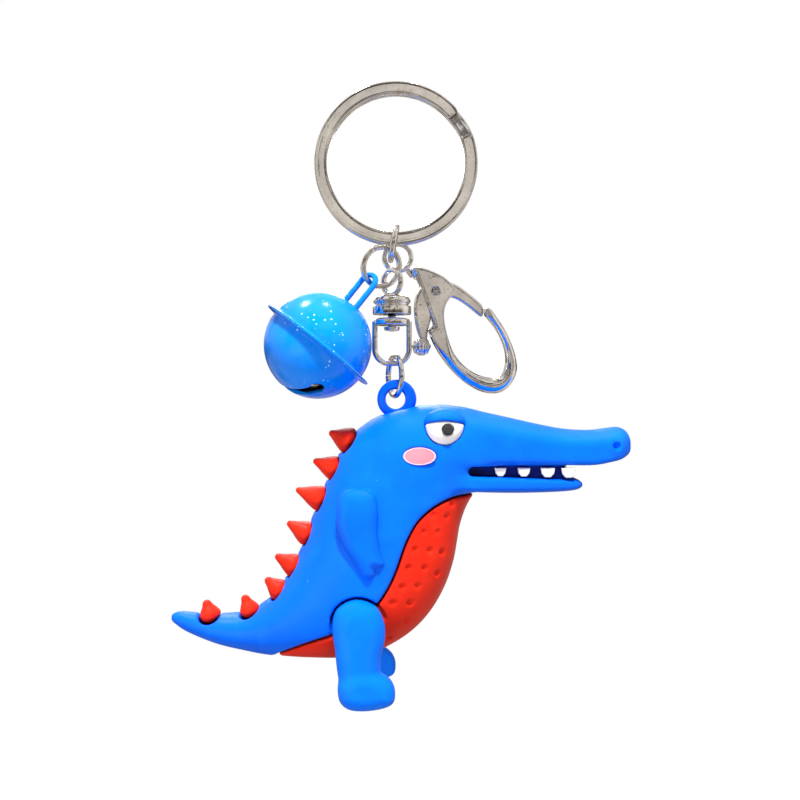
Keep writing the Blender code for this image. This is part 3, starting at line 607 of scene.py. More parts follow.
def swivel():
    base = (SWIVEL_X, 0, 0)
    turn_c, turn_s = math.cos(LOOP_TURN), math.sin(LOOP_TURN)
    path = arc(LOOP_CENTRE, Vector((turn_c, -turn_s, 0)) * LOOP_R, (0, 0, LOOP_R), 96)[:-1]
    loop = sweep(path, round_section(LOOP_WIRE), (turn_s, turn_c, 0), True)
    collar = lathe(softened([(0, CAP_TOP + 0.45), (0.95, CAP_TOP + 0.4), (1.25, CAP_TOP - 0.35),
                             (0, CAP_TOP - 0.45)], 0.2), base, (0, 0, 1), 48)
    outside = [(0, CAP_TOP), (2.3, CAP_TOP - 0.05), (3.15, CAP_TOP - 0.45), (CAP_R - 0.12, CAP_TOP - 1.0),
               (CAP_R - 0.12, CAP_TOP - 1.45), (CAP_R - 0.4, CAP_TOP - 1.6), (CAP_R - 0.4, CAP_TOP - 1.9),
               (CAP_R, CAP_TOP - 2.1), (CAP_R, CAP_RIM), (CAP_R - 0.7, CAP_RIM),
               (CAP_R - 0.7, CAP_TOP - 1.35), (1.1, CAP_TOP - 1.35), (1.1, CAP_TOP - 0.7), (0, CAP_TOP - 0.7)]
    cap = lathe(softened(outside, 0.16), base, (0, 0, 1))
    finish_piece(fuse([cap, collar, loop]), "swivel_upper_loop", NICKEL)

    pin_top = CAP_TOP - 1.0
    rivet = softened([(0, pin_top), (0.75, pin_top), (0.75, DISC_BOTTOM - GAP), (1.5, DISC_BOTTOM - GAP),
                      (1.35, DISC_BOTTOM - 0.95), (0, DISC_BOTTOM - 1.2)], 0.14)
    finish_piece(lathe(rivet, base, (0, 0, 1), 48), "swivel_rivet", NICKEL)

    half, bend, bottom, wire = 3.15, 2.6, -49.3, 0.5
    left = SWIVEL_X - half
    path = [(left, 0, DISC_TOP - 0.6), (left, 0, DISC_TOP - 2.5)]
    path += arc((left + bend, 0, bottom + bend), (-bend, 0, 0), (0, 0, -bend), 14, 0, math.pi / 2)
    path += [(2 * SWIVEL_X - x, y, z) for x, y, z in path[::-1]]
    disc = lathe(softened([(1.05, DISC_TOP), (DISC_R - 0.5, DISC_TOP), (DISC_R - 0.35, DISC_TOP - 0.12),
                           (DISC_R - 0.2, DISC_TOP - 0.1), (DISC_R, DISC_TOP - 0.35),
                           (DISC_R, DISC_BOTTOM + 0.2), (DISC_R - 0.25, DISC_BOTTOM), (1.05, DISC_BOTTOM),
                           (1.05, DISC_TOP)], 0.12)[:-1],
                 base, (0, 0, 1))
    finish_piece(fuse([disc, sweep(path, round_section(wire), (0, 1, 0))]), "swivel_lower_bail", NICKEL)


swivel()

# ---------------------------------------------------------------- lobster clasp
# Drawn flat in the x-z plane, then leaned back about its eye.
EYE = Vector((0.31, 1.85, -29.6))
EYE_R, EYE_WIRE = 2.48, 0.44
CLASP_AXIS = Vector((0.629, 0.0, -0.777)).normalized()
CLASP_LEAN = math.radians(12.0)
lean_axis = CLASP_AXIS.cross(Vector((0, 1, 0)))
tilt = Matrix.Rotation(CLASP_LEAN, 4, lean_axis)
if (tilt @ CLASP_AXIS).y < 0:
    tilt = Matrix.Rotation(-CLASP_LEAN, 4, lean_axis)
CLASP = Matrix.Translation(EYE) @ tilt @ Matrix.Translation(-Vector((EYE.x, 0, EYE.z)))
PIVOT = (7.3, -35.6)
CLASP_HALF = 1.5
FRAME_OUTLINE = [(3.0, -31.5), (4.6, -31.3), (8.0, -32.6), (10.0, -34.0), (10.9, -35.3), (10.6, -36.4),
                 (9.5, -37.9), (9.0, -39.8), (9.3, -42.4), (10.1, -45.0), (11.3, -47.6), (13.0, -49.7),
                 (15.0, -51.2), (17.3, -52.1), (19.3, -52.2), (20.6, -51.2), (21.2, -49.4), (21.0, -47.2),
                 (20.2, -45.0), (19.0, -42.9), (17.6, -41.1), (17.0, -40.3), (17.1, -38.9), (18.0, -39.2),
                 (19.2, -40.6), (20.8, -42.8), (22.2, -45.5), (23.2, -48.4), (23.4, -51.0), (22.4, -53.4),
                 (20.7, -54.9), (18.6, -55.3), (16.0, -54.7), (13.2, -53.0), (10.6, -50.6), (8.4, -47.7),
                 (6.9, -44.8), (5.6, -41.0), (4.3, -36.8), (3.1, -33.2)]
FORK = [(1.5, -33.8), (8.0, -33.6), (12.0, -32.5), (13.0, -38.0), (9.2, -39.2), (7.9, -40.6), (7.3, -44.0),
        (3.0, -45.6)]
FOLD = ((3.6, -31.4), (8.1, -43.2))     # the bright crease down the plate
GATE_OUTLINE = [(7.6, -34.1), (9.4, -33.9), (11.4, -34.6), (13.6, -36.1), (15.6, -37.7), (16.6, -38.9),
                (16.4, -40.6), (15.2, -39.9), (13.4, -38.5), (11.2, -37.2), (9.4, -36.9), (8.6, -37.4),
                (7.7, -38.4), (6.9, -40.4), (6.2, -43.0), (5.9, -44.9), (4.9, -45.0), (4.1, -43.2),
                (3.6, -40.6), (3.5, -38.0), (4.3, -35.6), (5.8, -34.4)]
NUB = (4.95, -46.2)


def pivot_hole(field, radius, half=CLASP_HALF * 2, soft=0.0):
    """A round hole about the gate's pivot, as deep as half on either side."""
    field.take(lambda x, y, z: np.maximum(np.hypot(x - PIVOT[0], z - PIVOT[1]) - radius, np.abs(y) - half),
               (5, -3, -38), (10, 3, -33), soft)


def clasp_frame():
    """The cast plate and hook, forked for the gate, with a hole for the eye's post."""
    field = Field((1.5, -2.2, -56.5), (24.8, 2.2, -30.2), 0.1)
    x, y, z = field.part()[1]
    flat = outline_distance(catmull(FRAME_OUTLINE, 3, closed=True), x, z)
    down_the_hook = x * 0.55 - z * 0.83
    roundness = 0.32 + 1.12 * step(down_the_hook, 40.5, 46.0)
    value = rounded(flat, np.abs(y) - CLASP_HALF, roundness)
    (ax, az), (bx, bz) = FOLD
    left = ((x - ax) * (bz - az) - (z - az) * (bx - ax)) / math.hypot(bx - ax, bz - az)
    slope = math.radians(32)
    facet = (np.abs(y) - CLASP_HALF + 0.02) * math.cos(slope) + left * math.sin(slope)
    below_fold = 1 - step(z, -46.0, -42.0)
    field.value = soft_max(value, facet - 3.0 * below_fold, 0.12)
    field.take(lambda x, y, z: np.maximum(outline_distance(FORK, x, z), np.abs(y) - 1.1),
               (1, -3, -47), (14, 3, -31), 0.15)

    def post_hole(x, y, z):
        along, off = from_line(x, y, z, (EYE.x, EYE.z), (CLASP_AXIS.x, CLASP_AXIS.z))
        return np.maximum(off - 0.8, np.maximum(2.4 - along, along - 5.2))

    field.take(post_hole, (0, -3, -36), (8, 3, -29), 0.12)
    pivot_hole(field, 0.72, soft=0.12)
    finish_piece(carved(field), "clasp_frame", CAST_NICKEL, 180, CLASP)


def clasp_gate():
    """The gate, with a fluted thumb nub, bored for its pin and cut away inside for its spring."""
    field = Field((2.2, -2.0, -49.0), (18.0, 2.0, -33.0), 0.08)
    x, y, z = field.part()[1]
    value = rounded(outline_distance(catmull(GATE_OUTLINE, 3, closed=True), x, z), np.abs(y) - 0.8, 0.5)
    flutes = 0.09 * np.cos((x - NUB[0]) * 2 * math.pi / 0.62) * step(-np.abs(z - NUB[1]), -1.7, -1.2)
    nub = ellipsoid(x, y, z, (NUB[0], 0, NUB[1]), (1.75, 1.55, 1.75)) - flutes
    field.value = soft_min(value, nub, 0.3)
    pivot_hole(field, 0.85, soft=0.1)
    pivot_hole(field, 1.5, 0.45)
    finish_piece(carved(field), "clasp_gate", CAST_NICKEL, 180, CLASP)


def clasp_small_parts():
    pin = softened([(0, -CLASP_HALF - 0.02), (0.6, -CLASP_HALF + 0.02), (0.6, CLASP_HALF - 0.02),
                    (0, CLASP_HALF + 0.02)], 0.12)
    spot = (PIVOT[0], 0, PIVOT[1])
    finish_piece(lathe(pin, spot, (0, 1, 0), 40), "clasp_gate_pin", STEEL, 40, CLASP)
    coil = arc(spot, (1.05, 0, 0), (0, 0, 1.05), 60, math.radians(20), math.radians(340))
    finish_piece(sweep(coil, round_section(0.13, 10), (0, 1, 0)), "clasp_spring", STEEL,
                 40, CLASP)

    path = arc(EYE, (EYE_R, 0, 0), (0, 0, EYE_R), 96)[:-1]
    ring = sweep(path, round_section(EYE_WIRE), (0, 1, 0), True)
    verts, faces = lathe(softened([(0, EYE_R - 0.3), (0.72, EYE_R - 0.2), (0.5, EYE_R + 0.5), (0.5, 4.5),
                                   (0, 4.6)], 0.15), (EYE.x, 0, EYE.z), CLASP_AXIS, 40)
    post = [tuple(CLASP @ Vector(v)) for v in verts], faces
    finish_piece(fuse([ring, post]), "clasp_eye", NICKEL)


clasp_frame()
clasp_gate()
clasp_small_parts()

# ---------------------------------------------------------------- jingle bell
BELL = Vector((-14.2, -2.5, -46.0))
BELL_AXIS = Vector((0.62, 0.05, 0.78)).normalized()
BELL_R, BELL_WALL, BELL_FLANGE = 9.8, 0.7, 11.5


def dome():
    """One pressed half: a deep dome that turns out into the thin rolled flange."""
    inner, rows = BELL_R - BELL_WALL, 40
    profile = [(0, BELL_R)]
    low = math.asin(0.5 / BELL_R)
    for k in range(1, rows + 1):
        t = (math.pi / 2 - low) * k / rows
        profile.append((BELL_R * math.sin(t), BELL_R * math.cos(t)))
    profile += softened([profile[-1], (BELL_R + 0.1, 0.36), (BELL_FLANGE - 0.35, 0.27),
                         (BELL_FLANGE, 0.1), (BELL_FLANGE - 0.08, 0.02), (inner, 0.02)], 0.12)[1:]
    for k in range(rows - 1, 0, -1):
        t = math.pi / 2 * k / rows
        profile.append((inner * math.sin(t), inner * math.cos(t)))
    profile.append((0, inner))
    return profile


def shade_inside(shell):
    """Marks the unlit inner face of a half, where the finish paints shade nearly black."""
    far = np.linalg.norm(points_of(shell) - np.array(BELL), axis=1)
    weight(shell, "inside", step(BELL_R - far, 0.3, 0.6))


def bell():
    side = Vector((BELL_AXIS.z, 0, -BELL_AXIS.x)).normalized()
    across = (side * 0.72 - Vector((0, 1, 0)) * 0.69).normalized()
    half, rise = 1.75, 14.55        # of the strap loop: half its width, and where its round end starts
    path = arc(BELL + BELL_AXIS * rise, across * half, BELL_AXIS * half * 0.95, 40, 0, math.pi)
    foot = [BELL_AXIS * ((9.0 - rise) * (1 - k / 6)) for k in range(6)]
    path = [path[0] + low for low in foot] + path + [path[-1] + low for low in foot[::-1]]
    finish_piece(sweep(path, round_section(0.5, 20, 1.1), BELL_AXIS.cross(across)),
                 "bell_eyelet", BELL_PAINT, 50)

    upper = new_object("work", *lathe(dome(), BELL, BELL_AXIS, 160))
    for end in (path[0], path[-1]):
        hole = lathe([(0, -2.5), (0.85, -2.5), (0.85, 2.5), (0, 2.5)], end, BELL_AXIS, 40)
        combine(upper, hole, "DIFFERENCE")
    shade_inside(upper)
    finish_piece(upper, "bell_upper_half", BELL_PAINT, 35)

    lower = new_object("work", *lathe(dome(), BELL, -BELL_AXIS, 160))
    way = Vector((0.53, -0.72, -0.45))
    way = (way - BELL_AXIS * way.dot(BELL_AXIS)).normalized()
    out = BELL_AXIS.cross(way)
    rings = []
    for low in (-12.0, -4.0):
        rings.append([BELL + BELL_AXIS * low + way * a * 7.4 + out * b * 1.05
                      for a, b in ((-1, -1), (1, -1), (1, 1), (-1, 1))])
    combine(lower, skin(rings), "DIFFERENCE")
    for end in (-1, 1):
        hole = lathe([(0, 5.0), (1.35, 5.0), (1.35, 12.0), (0, 12.0)], BELL,
                     (way * end * 7.45 - BELL_AXIS * 6.4).normalized(), 48)
        combine(lower, hole, "DIFFERENCE")
    shade_inside(lower)
    finish_piece(lower, "bell_lower_half", BELL_PAINT, 35)

    low, high = corners("bell_pellet")
    centre, radius = (low + high) / 2, (high.x - low.x) / 2
    field = Field(low - Vector((1, 1, 1)), high + Vector((1, 1, 1)), 0.12)
    field.add(lambda x, y, z: ellipsoid(x, y, z, centre, (radius,) * 3)
              + 0.03 * np.sin(x * 4.1) * np.sin(y * 3.7) * np.sin(z * 4.6))
    finish_piece(carved(field), "bell_pellet", STEEL, 180)


bell()

# ---------------------------------------------------------------- figure
# Ribs from the back point (x, z) to the belly point (x, z), with a half width.
RIBS = [(-41.3, -96.0, -41.2, -96.6, 0.5), (-41.0, -95.3, -40.4, -97.2, 1.4),
        (-39.4, -94.9, -38.6, -98.4, 2.2), (-36.1, -95.2, -35.3, -99.8, 3.2),
        (-32.2, -95.3, -32.0, -100.9, 4.2), (-28.2, -95.0, -27.8, -101.8, 5.2),
        (-25.4, -93.8, -23.9, -102.5, 6.4), (-22.9, -92.1, -19.5, -102.9, 7.7),
        (-21.2, -90.1, -14.9, -103.1, 8.9), (-19.7, -87.5, -9.9, -103.1, 9.9),
        (-18.2, -84.7, -5.2, -102.5, 10.6), (-17.0, -82.0, -1.5, -101.1, 11.0),
        (-15.9, -78.8, 2.8, -98.4, 11.3), (-14.7, -75.6, 6.3, -94.8, 11.4),
        (-13.4, -72.3, 9.0, -90.2, 11.3), (-12.1, -69.1, 10.6, -85.6, 11.0),
        (-10.6, -66.0, 11.3, -81.9, 10.6), (-8.5, -62.9, 11.8, -79.0, 10.1),
        (-5.9, -60.5, 12.7, -76.2, 9.7), (-2.9, -58.8, 13.7, -74.2, 9.3),
        (0.7, -57.8, 14.2, -73.6, 9.1), (4.4, -57.0, 14.5, -73.2, 8.9),
        (9.0, -57.1, 14.9, -72.9, 8.8), (13.0, -57.8, 15.4, -72.9, 8.55),
        (16.2, -59.4, 17.2, -72.2, 7.6), (18.6, -61.8, 18.8, -71.0, 5.6), (19.8, -64.5, 19.8, -69.0, 2.6)]
UPPER = [(8.0, -57.1, -68.0, 8.7), (13.0, -57.6, -67.9, 8.6), (17.5, -58.5, -67.8, 8.2),
         (22.0, -59.5, -67.8, 7.8), (26.5, -60.5, -67.8, 7.4), (31.0, -61.3, -67.8, 7.1),
         (35.5, -61.5, -67.8, 6.8), (38.6, -61.15, -67.3, 6.3), (40.6, -60.95, -66.8, 5.6),
         (41.9, -61.5, -66.1, 4.4), (42.6, -62.5, -65.4, 3.0), (42.9, -63.5, -64.7, 1.3)]
LOWER = [(8.0, -69.0, -72.8, 8.0), (13.0, -69.1, -72.9, 7.9), (20.0, -69.3, -72.9, 7.4),
         (26.0, -69.6, -72.8, 6.9), (30.5, -69.9, -72.6, 6.3), (32.8, -70.3, -72.3, 5.3),
         (33.9, -71.0, -71.8, 3.2)]
ARM = [(-9.5, -72.6), (-6.8, -71.7), (-4.0, -72.5), (-3.3, -75.2), (-3.3, -78.8), (-3.0, -81.4),
       (-2.5, -83.5), (-2.1, -84.7), (-2.8, -85.1), (-3.7, -85.5), (-3.7, -86.4), (-4.2, -87.1),
       (-5.1, -87.3), (-5.9, -86.7), (-7.5, -84.0), (-9.4, -80.7), (-10.3, -76.9)]
SEAM = [(14.6, -73.0), (11.0, -73.4), (8.6, -74.2), (6.2, -75.6), (4.0, -77.6), (2.6, -79.9),
        (1.5, -82.4), (0.4, -85.6), (-0.8, -88.4), (-2.1, -90.6), (-3.6, -92.6), (-5.8, -94.8),
        (-8.4, -96.4), (-11.2, -97.6), (-14.2, -98.7), (-17.6, -100.1), (-20.9, -101.8), (-22.4, -103.2)]
DIMPLES = [(6.8, -76.3), (9.3, -76.8), (10.2, -74.6), (5.1, -79.3), (7.7, -79.4), (3.5, -82.3), (6.2, -82.6),
           (8.4, -83.1), (2.3, -85.5), (5.2, -85.7), (7.6, -86.9), (1.2, -88.9), (4.0, -88.9),
           (-0.5, -91.7), (2.6, -91.9), (2.0, -95.3), (-1.2, -98.6)]
SPIKES = [((-12.3, -61.9), (-8.9, -63.4), 2.4), ((-15.2, -67.1), (-11.5, -68.5), 2.2),
          ((-18.4, -72.4), (-14.0, -74.1), 2.3), ((-20.0, -78.5), (-16.4, -80.5), 2.2),
          ((-22.2, -84.6), (-18.8, -86.4), 2.1), ((-24.0, -88.8), (-21.5, -90.9), 2.0),
          ((-28.0, -91.9), (-26.9, -94.6), 1.8), ((-35.0, -92.8), (-34.2, -95.4), 1.9)]
SHIN = [(-11.1, -95.5), (-10.2, -92.5), (-7.0, -90.95), (-3.5, -92.1), (-2.0, -95.0), (-1.9, -98.0),
        (-2.6, -101.0), (-2.9, -104.0), (-4.6, -107.2), (-8.2, -107.4), (-9.9, -105.0), (-10.6, -100.0)]
FOOT = [(-9.9, -105.2), (-8.4, -103.6), (-5.6, -102.9), (-2.9, -103.5), (-0.9, -104.9), (-0.1, -107.0),
        (-0.7, -109.1), (-4.0, -110.1), (-7.6, -110.1), (-9.5, -109.0), (-10.1, -107.2)]
HIP, HIP_R, LEG_IN, LEG_OUT = (-6.6, -95.5), 4.7, 9.9, 14.3
HANG, HANG_OUTER, HANG_HOLE, HANG_HALF = (-0.1, -55.85), 3.6, 1.8, 1.15
EYE_BALL, EYE_RADII, EYE_TOP = (8.65, 8.3, -60.35), (3.4, 2.1, 3.6), -59.72
EYE_LID = (8.65, 7.9, -59.9), (3.62, 2.95, 2.4)
NOSE, NOSTRIL = ((39.4, 4.6, -64.5), (1.7, 1.6, 1.5)), ((39.6, 6.2, -64.3), (0.75, 0.9, 0.65))
HIP_BOX = (-14, 8.5, -104), (1, 14, -88)
SIDES = ((-1, "right"), (1, "left"))
SPIKE_OVAL = 1.4        # a spike's foot is this much wider than it is long
PUPIL = (9.15, -61.28)
CHEEK, CHEEK_RADII = (4.2, 8.6, -65.95), (2.9, 1.3, 1.55)
SLOT_TOP, SLOT_LOW, SLOT_LEFT, CORE = -67.88, -69.6, 12.9, 4.9
FIGURE_LOW, FIGURE_HIGH = (-42.6, -14.0, -104.4), (44.0, 14.0, -54.2)


def power(value, exponent):
    return np.sign(value) * np.abs(value) ** exponent


def rib_ring(back, belly, half, count=72, blunt=2.3, flat=None):
    """A superellipse from the back point to the belly point; flat squares off its belly side."""
    back, belly = np.array(back), np.array(belly)
    centre, reach = (back + belly) / 2, (back - belly) / 2
    out = []
    for k in range(count):
        t = 2 * math.pi * k / count
        c, s = math.cos(t), math.sin(t)
        n = flat if flat and c < 0 else blunt
        out.append(tuple(centre + reach * power(c, 2 / n) + np.array((0, half * power(s, 2 / n), 0))))
    return out


def torso_mesh():
    return skin([rib_ring((xb, 0, zb), (xv, 0, zv), half) for xb, zb, xv, zv, half in catmull(RIBS, 5)])


def jaw_mesh(ribs, blunt, flat):
    return skin([rib_ring((x, 0, top), (x, 0, low), half, 72, blunt, flat)
                 for x, top, low, half in catmull(ribs, 5)])


def spike_mesh(tip, base, half):
    """A cone with a rounded, bulging foot and a soft tip."""
    tip, base = Vector((tip[0], 0, tip[1])), Vector((base[0], 0, base[1]))
    tall = (tip - base).length
    profile = [(0, -1.5), (half * 0.55, -1.32), (half * 0.93, -0.7), (half * 1.02, 0.1),
               (half * 0.8, tall * 0.33), (half * 0.53, tall * 0.6), (0.74, tall * 0.82),
               (0.5, tall * 0.94), (0.24, tall * 0.99), (0, tall)]
    curve = catmull(profile, 6)
    inside = [point for point in curve[1:-1] if point[0] > 0]
    return lathe([(0, curve[0][1])] + inside + [(0, curve[-1][1])], base, tip - base, 56, SPIKE_OVAL)


def seam_outline():
    return catmull(SEAM, 4) + [(-22.5, -110.0), (20.0, -110.0), (22.0, -73.5)]


def hip_seat(x, y, z):
    return np.maximum(np.hypot(x - HIP[0], z - HIP[1]) - HIP_R - GAP, LEG_IN - GAP - np.abs(y))


def lid_edge(x, z):
    """Height above the upper eyelid's edge, a shallow arch over the eye."""
    return z - EYE_TOP + 0.05 * (x - EYE_BALL[0]) ** 2


def carve_face(field):
    """Eyelids, eye sockets, cheek seats and nostrils."""
    eye_box = (2.0, 4.0, -66.0), (15.5, 13.0, -56.0)
    cheek_box = (0.5, 5.0, -69.0), (8.5, 12.0, -63.0)
    nose_box = (36, 1.5, -68), (43, 9, -60)
    socket = tuple(r + 0.14 for r in EYE_RADII)
    seat = tuple(r + 0.12 for r in CHEEK_RADII)
    field.both_sides(field.add, lambda x, y, z: soft_max(
        ellipsoid(x, np.abs(y), z, *EYE_LID), -lid_edge(x, z), 0.3), *eye_box, 0.3)
    field.both_sides(field.take, lambda x, y, z: soft_max(
        ellipsoid(x, np.abs(y), z, EYE_BALL, socket), lid_edge(x, z), 0.1), *eye_box, 0.12)
    field.both_sides(field.take, lambda x, y, z: ellipsoid(x, np.abs(y), z, CHEEK, seat), *cheek_box, 0.12)
    field.both_sides(field.add, lambda x, y, z: ellipsoid(x, np.abs(y), z, *NOSE), *nose_box, 1.2)
    field.both_sides(field.take, lambda x, y, z: ellipsoid(x, np.abs(y), z, *NOSTRIL), *nose_box, 0.35)


def slot_outline(x, z):
    half = (SLOT_TOP - SLOT_LOW + 0.8 * step(x, SLOT_LEFT - 4, 37.0)) / 2
    return np.hypot(np.maximum(SLOT_LEFT + half - x, 0), z - SLOT_TOP + half) - half


def slot_shape(x, y, z):
    """The mouth's slot: a round left end, then open to the front, as deep as the core between the jaws."""
    return soft_max(slot_outline(x, z) + 0 * y, CORE - np.abs(y), 0.3)


def arm(x, y, z):
    """The arm and its two-clawed hand, low on the body's side."""
    flat = outline_distance(catmull(ARM, 3, closed=True), x, z) - 0.15
    thick = 12.6 + 0.5 * step(z, -71.0, -76.0) - 0.25 * step(z, -82.0, -88.0)
    return rounded(flat + 0 * y, (np.abs(y) - thick) * 1.2, 2.2)


def smile(x, y, z):
    """A fine groove that runs down from the mouth's corner."""
    crease = catmull([(12.9, -68.6), (13.0, -69.9), (14.4, -71.3)], 6)
    near = np.full(np.broadcast_shapes(x.shape, z.shape), 1e9, np.float32)
    for (ax, az), (bx, bz) in zip(crease, crease[1:]):
        ex, ez = bx - ax, bz - az
        along = np.clip(((x - ax) * ex + (z - az) * ez) / (ex * ex + ez * ez), 0, 1)
        near = np.minimum(near, np.hypot(x - ax - ex * along, z - az - ez * along))
    return np.hypot(near + 0 * y, np.maximum(8.3 - np.abs(y), 0)) - 0.3


def take_socket(field, tip, base, half):
    """The rounded seat that a back spike stands in."""
    way = Vector((tip[0] - base[0], tip[1] - base[1])).normalized()
    reach = half * SPIKE_OVAL + 1.7

    def socket(x, y, z):
        along = (x - base[0]) * way.x + (z - base[1]) * way.y
        beside = (x - base[0]) * way.y - (z - base[1]) * way.x
        foot = np.hypot(beside, np.maximum(-along, 0) * half / 1.45) - half - 0.1
        return rounded(foot + 0 * y, (np.abs(y) - reach) * 0.8, 1.5)

    field.take(socket, (base[0] - 6, -8.0, base[1] - 6), (base[0] + 6, 8.0, base[1] + 6), 0.4)


def tab_seat(x, y, z):
    ring = np.hypot(x - HANG[0] - 0.25, z - HANG[1]) - HANG_OUTER - 0.15
    return np.maximum(ring + 0 * y, np.abs(y) - HANG_HALF - 0.15)


def mouth_shade(spots):
    """One on the mouth slot's walls and core, where the body's finish paints dark shade."""
    inside = step(-slot_outline(spots[:, 0], spots[:, 2]), -0.12, 0.12)
    return inside * step(8.3 - np.abs(spots[:, 1]), 0, 1.4)


def crocodile_body():
    field = Field(FIGURE_LOW, FIGURE_HIGH, 0.278)
    torso = field.distance_to(*torso_mesh())
    upper = field.distance_to(*jaw_mesh(UPPER, 2.4, 8.0))
    lower = field.distance_to(*jaw_mesh(LOWER, 3.4, None))
    field.value = soft_min(soft_min(torso, upper, 1.1), lower, 1.1)
    field.add(lambda x, y, z: rounded(np.maximum(np.abs(x - 20.0) - 10.4, np.abs(z + 69.1) - 2.3),
                                      np.abs(y) - CORE, 0.5), (8, -6, -73), (33, 6, -65), 0.3)
    field.both_sides(field.add, arm, (-13, 6.0, -91), (1, 14.0, -68), 0.3)
    field.both_sides(field.take, smile, (11, 6, -73), (16, 12, -67), 0.5)
    carve_face(field)
    whole = field.value.copy()
    field.both_sides(field.take, slot_shape, (12.0, CORE - 1.0, -72.5), (44.0, 12.0, -66.0), 0.35)
    where, (x, y, z) = field.part((-30, -16, -108), (26, 16, -70))
    seam = outline_distance(seam_outline(), x, z) + 0 * y
    field.value[where] = soft_max(field.value[where], GAP - seam, 0.55)
    field.both_sides(field.take, hip_seat, *HIP_BOX, 0.25)
    for spike in SPIKES:
        take_socket(field, *spike)
    field.take(tab_seat, (-5, -3, -61), (5, 3, -54), 0.25)
    work = carved(field)
    field.value = whole
    spots = points_of(work)
    # Painted shade: darker where the surface lies deep inside the uncut body, and on the mouth slot's walls.
    weight(work, "painted_shade", np.maximum(step(-field.at(spots), 0.3, 0.95), mouth_shade(spots)))
    finish_piece(work, "crocodile_body", BODY_BLUE, 180)


def belly():
    """The torso's own surface inside the seam, with the small dimples pressed in it."""
    field = Field((-23.6, -12.0, -104.2), (16.8, 12.0, -72.2), 0.2)
    torso = field.distance_to(*torso_mesh())
    x, y, z = field.part()[1]
    field.value = soft_max(torso + 0.1, outline_distance(seam_outline(), x, z) + 0 * y, 0.9)
    field.both_sides(field.take, hip_seat, *HIP_BOX, 0.3)
    middle_row = -int(field.first[1])
    for dx, dz in DIMPLES:
        i = int(round(dx / field.pitch)) - field.first[0]
        k = int(round(dz / field.pitch)) - field.first[2]
        reach = (field.value[i, middle_row:, k] < 0).sum() * field.pitch
        field.both_sides(field.take, lambda x, y, z: ellipsoid(x, np.abs(y), z, (dx, reach + 0.35, dz),
                                                               (0.68, 0.95, 0.64)),
                         (dx - 1.6, max(reach - 2, 0), dz - 1.6), (dx + 1.6, reach + 2, dz + 1.6), 0.35)
    finish_piece(carved(field), "belly", RED, 180)


def limb(points, outer, round_in, round_out):
    """An outline with a gently domed outer face and a squarer inner one."""
    def shape(x, y, z):
        flat = outline_distance(points, x, z) + 0 * y
        centre, half = (LEG_IN + outer) / 2 - 0.5, (outer - LEG_IN) / 2
        across = np.abs(y) - centre
        domed = rounded(flat, (across - half - 0.5) * round_out / (outer - centre), round_out)
        return np.where(across > 0, domed, rounded(flat, -across - half + 0.5, round_in))
    return shape


def hip_peg(x, y, z):
    return np.maximum(np.hypot(x - HIP[0], z - HIP[1]) - 2.0, np.abs(np.abs(y) - LEG_IN + 1.2) - 2.1)


def leg(side, word):
    field = Field(*on_side((-12.5, 5.5, -111.5), (1.5, 15.5, -89.5), side), 0.16)
    field.add(limb(catmull(SHIN, 4, closed=True), LEG_OUT - 0.55, 0.9, 3.3))
    field.add(limb(catmull(FOOT, 4, closed=True), LEG_OUT, 0.9, 2.7), soft=0.7)
    field.add(hip_peg, soft=0.3)
    finish_piece(carved(field), f"{word}_leg", LEG_LIT_BLUE, 180)


def hanging_loop():
    """A flat ring with a raised lip round its hole, on a stem that goes into the head."""
    field = Field((-5, -2.2, -64.5), (5.2, 2.2, -51.5), 0.1)

    def ring(x, y, z):
        outer = np.hypot(x - HANG[0] - 0.25, z - HANG[1])
        rim = rounded(outer - HANG_OUTER + 0 * y, np.abs(y) - HANG_HALF, 0.85)
        lip = np.hypot(np.hypot(x - HANG[0], z - HANG[1]) - HANG_HOLE - 0.42,
                       np.abs(y) - HANG_HALF + 0.28) - 0.36
        return soft_min(rim, lip, 0.25)

    def stem(x, y, z):
        along, off = from_line(x, y, z, (HANG[0] + 0.25, HANG[1]), (0.33, -0.944))
        return np.maximum(off - 1.2, np.abs(along - 4.4) - 2.0)

    field.add(ring)
    field.add(stem, soft=0.4)
    field.take(lambda x, y, z: np.hypot(x - HANG[0], z - HANG[1]) - HANG_HOLE + 0 * y, soft=0.5)
    finish_piece(carved(field), "hanging_loop", LOOP_SHADED_BLUE, 180)


def eye(side, word):
    """The white under its lid, hollowed a little for the pupil, and the pupil."""
    ball = (EYE_BALL[0], side * EYE_BALL[1], EYE_BALL[2])
    low = [ball[i] - EYE_RADII[i] - 0.6 for i in range(3)]
    high = [ball[i] + EYE_RADII[i] + 0.6 for i in range(3)]
    field = Field(low, high, 0.09)
    field.add(lambda x, y, z: soft_max(ellipsoid(x, y, z, ball, EYE_RADII), lid_edge(x, z) + 0.04, 0.3))
    field.take(lambda x, y, z: np.maximum(np.hypot(x - PUPIL[0], z - PUPIL[1]) - 1.12, 9.75 - np.abs(y)),
               soft=0.15)
    finish_piece(carved(field), f"{word}_eye_white", WHITE, 180)
    pupil = softened([(0, 9.85), (1.02, 9.9), (0.98, 10.42), (0.7, 10.62), (0.4, 10.68), (0, 10.70)], 0.15)
    finish_piece(lathe(pupil, (PUPIL[0], 0, PUPIL[1]), (0, side, 0), 56),
                 f"{word}_pupil", BLACK, 60)


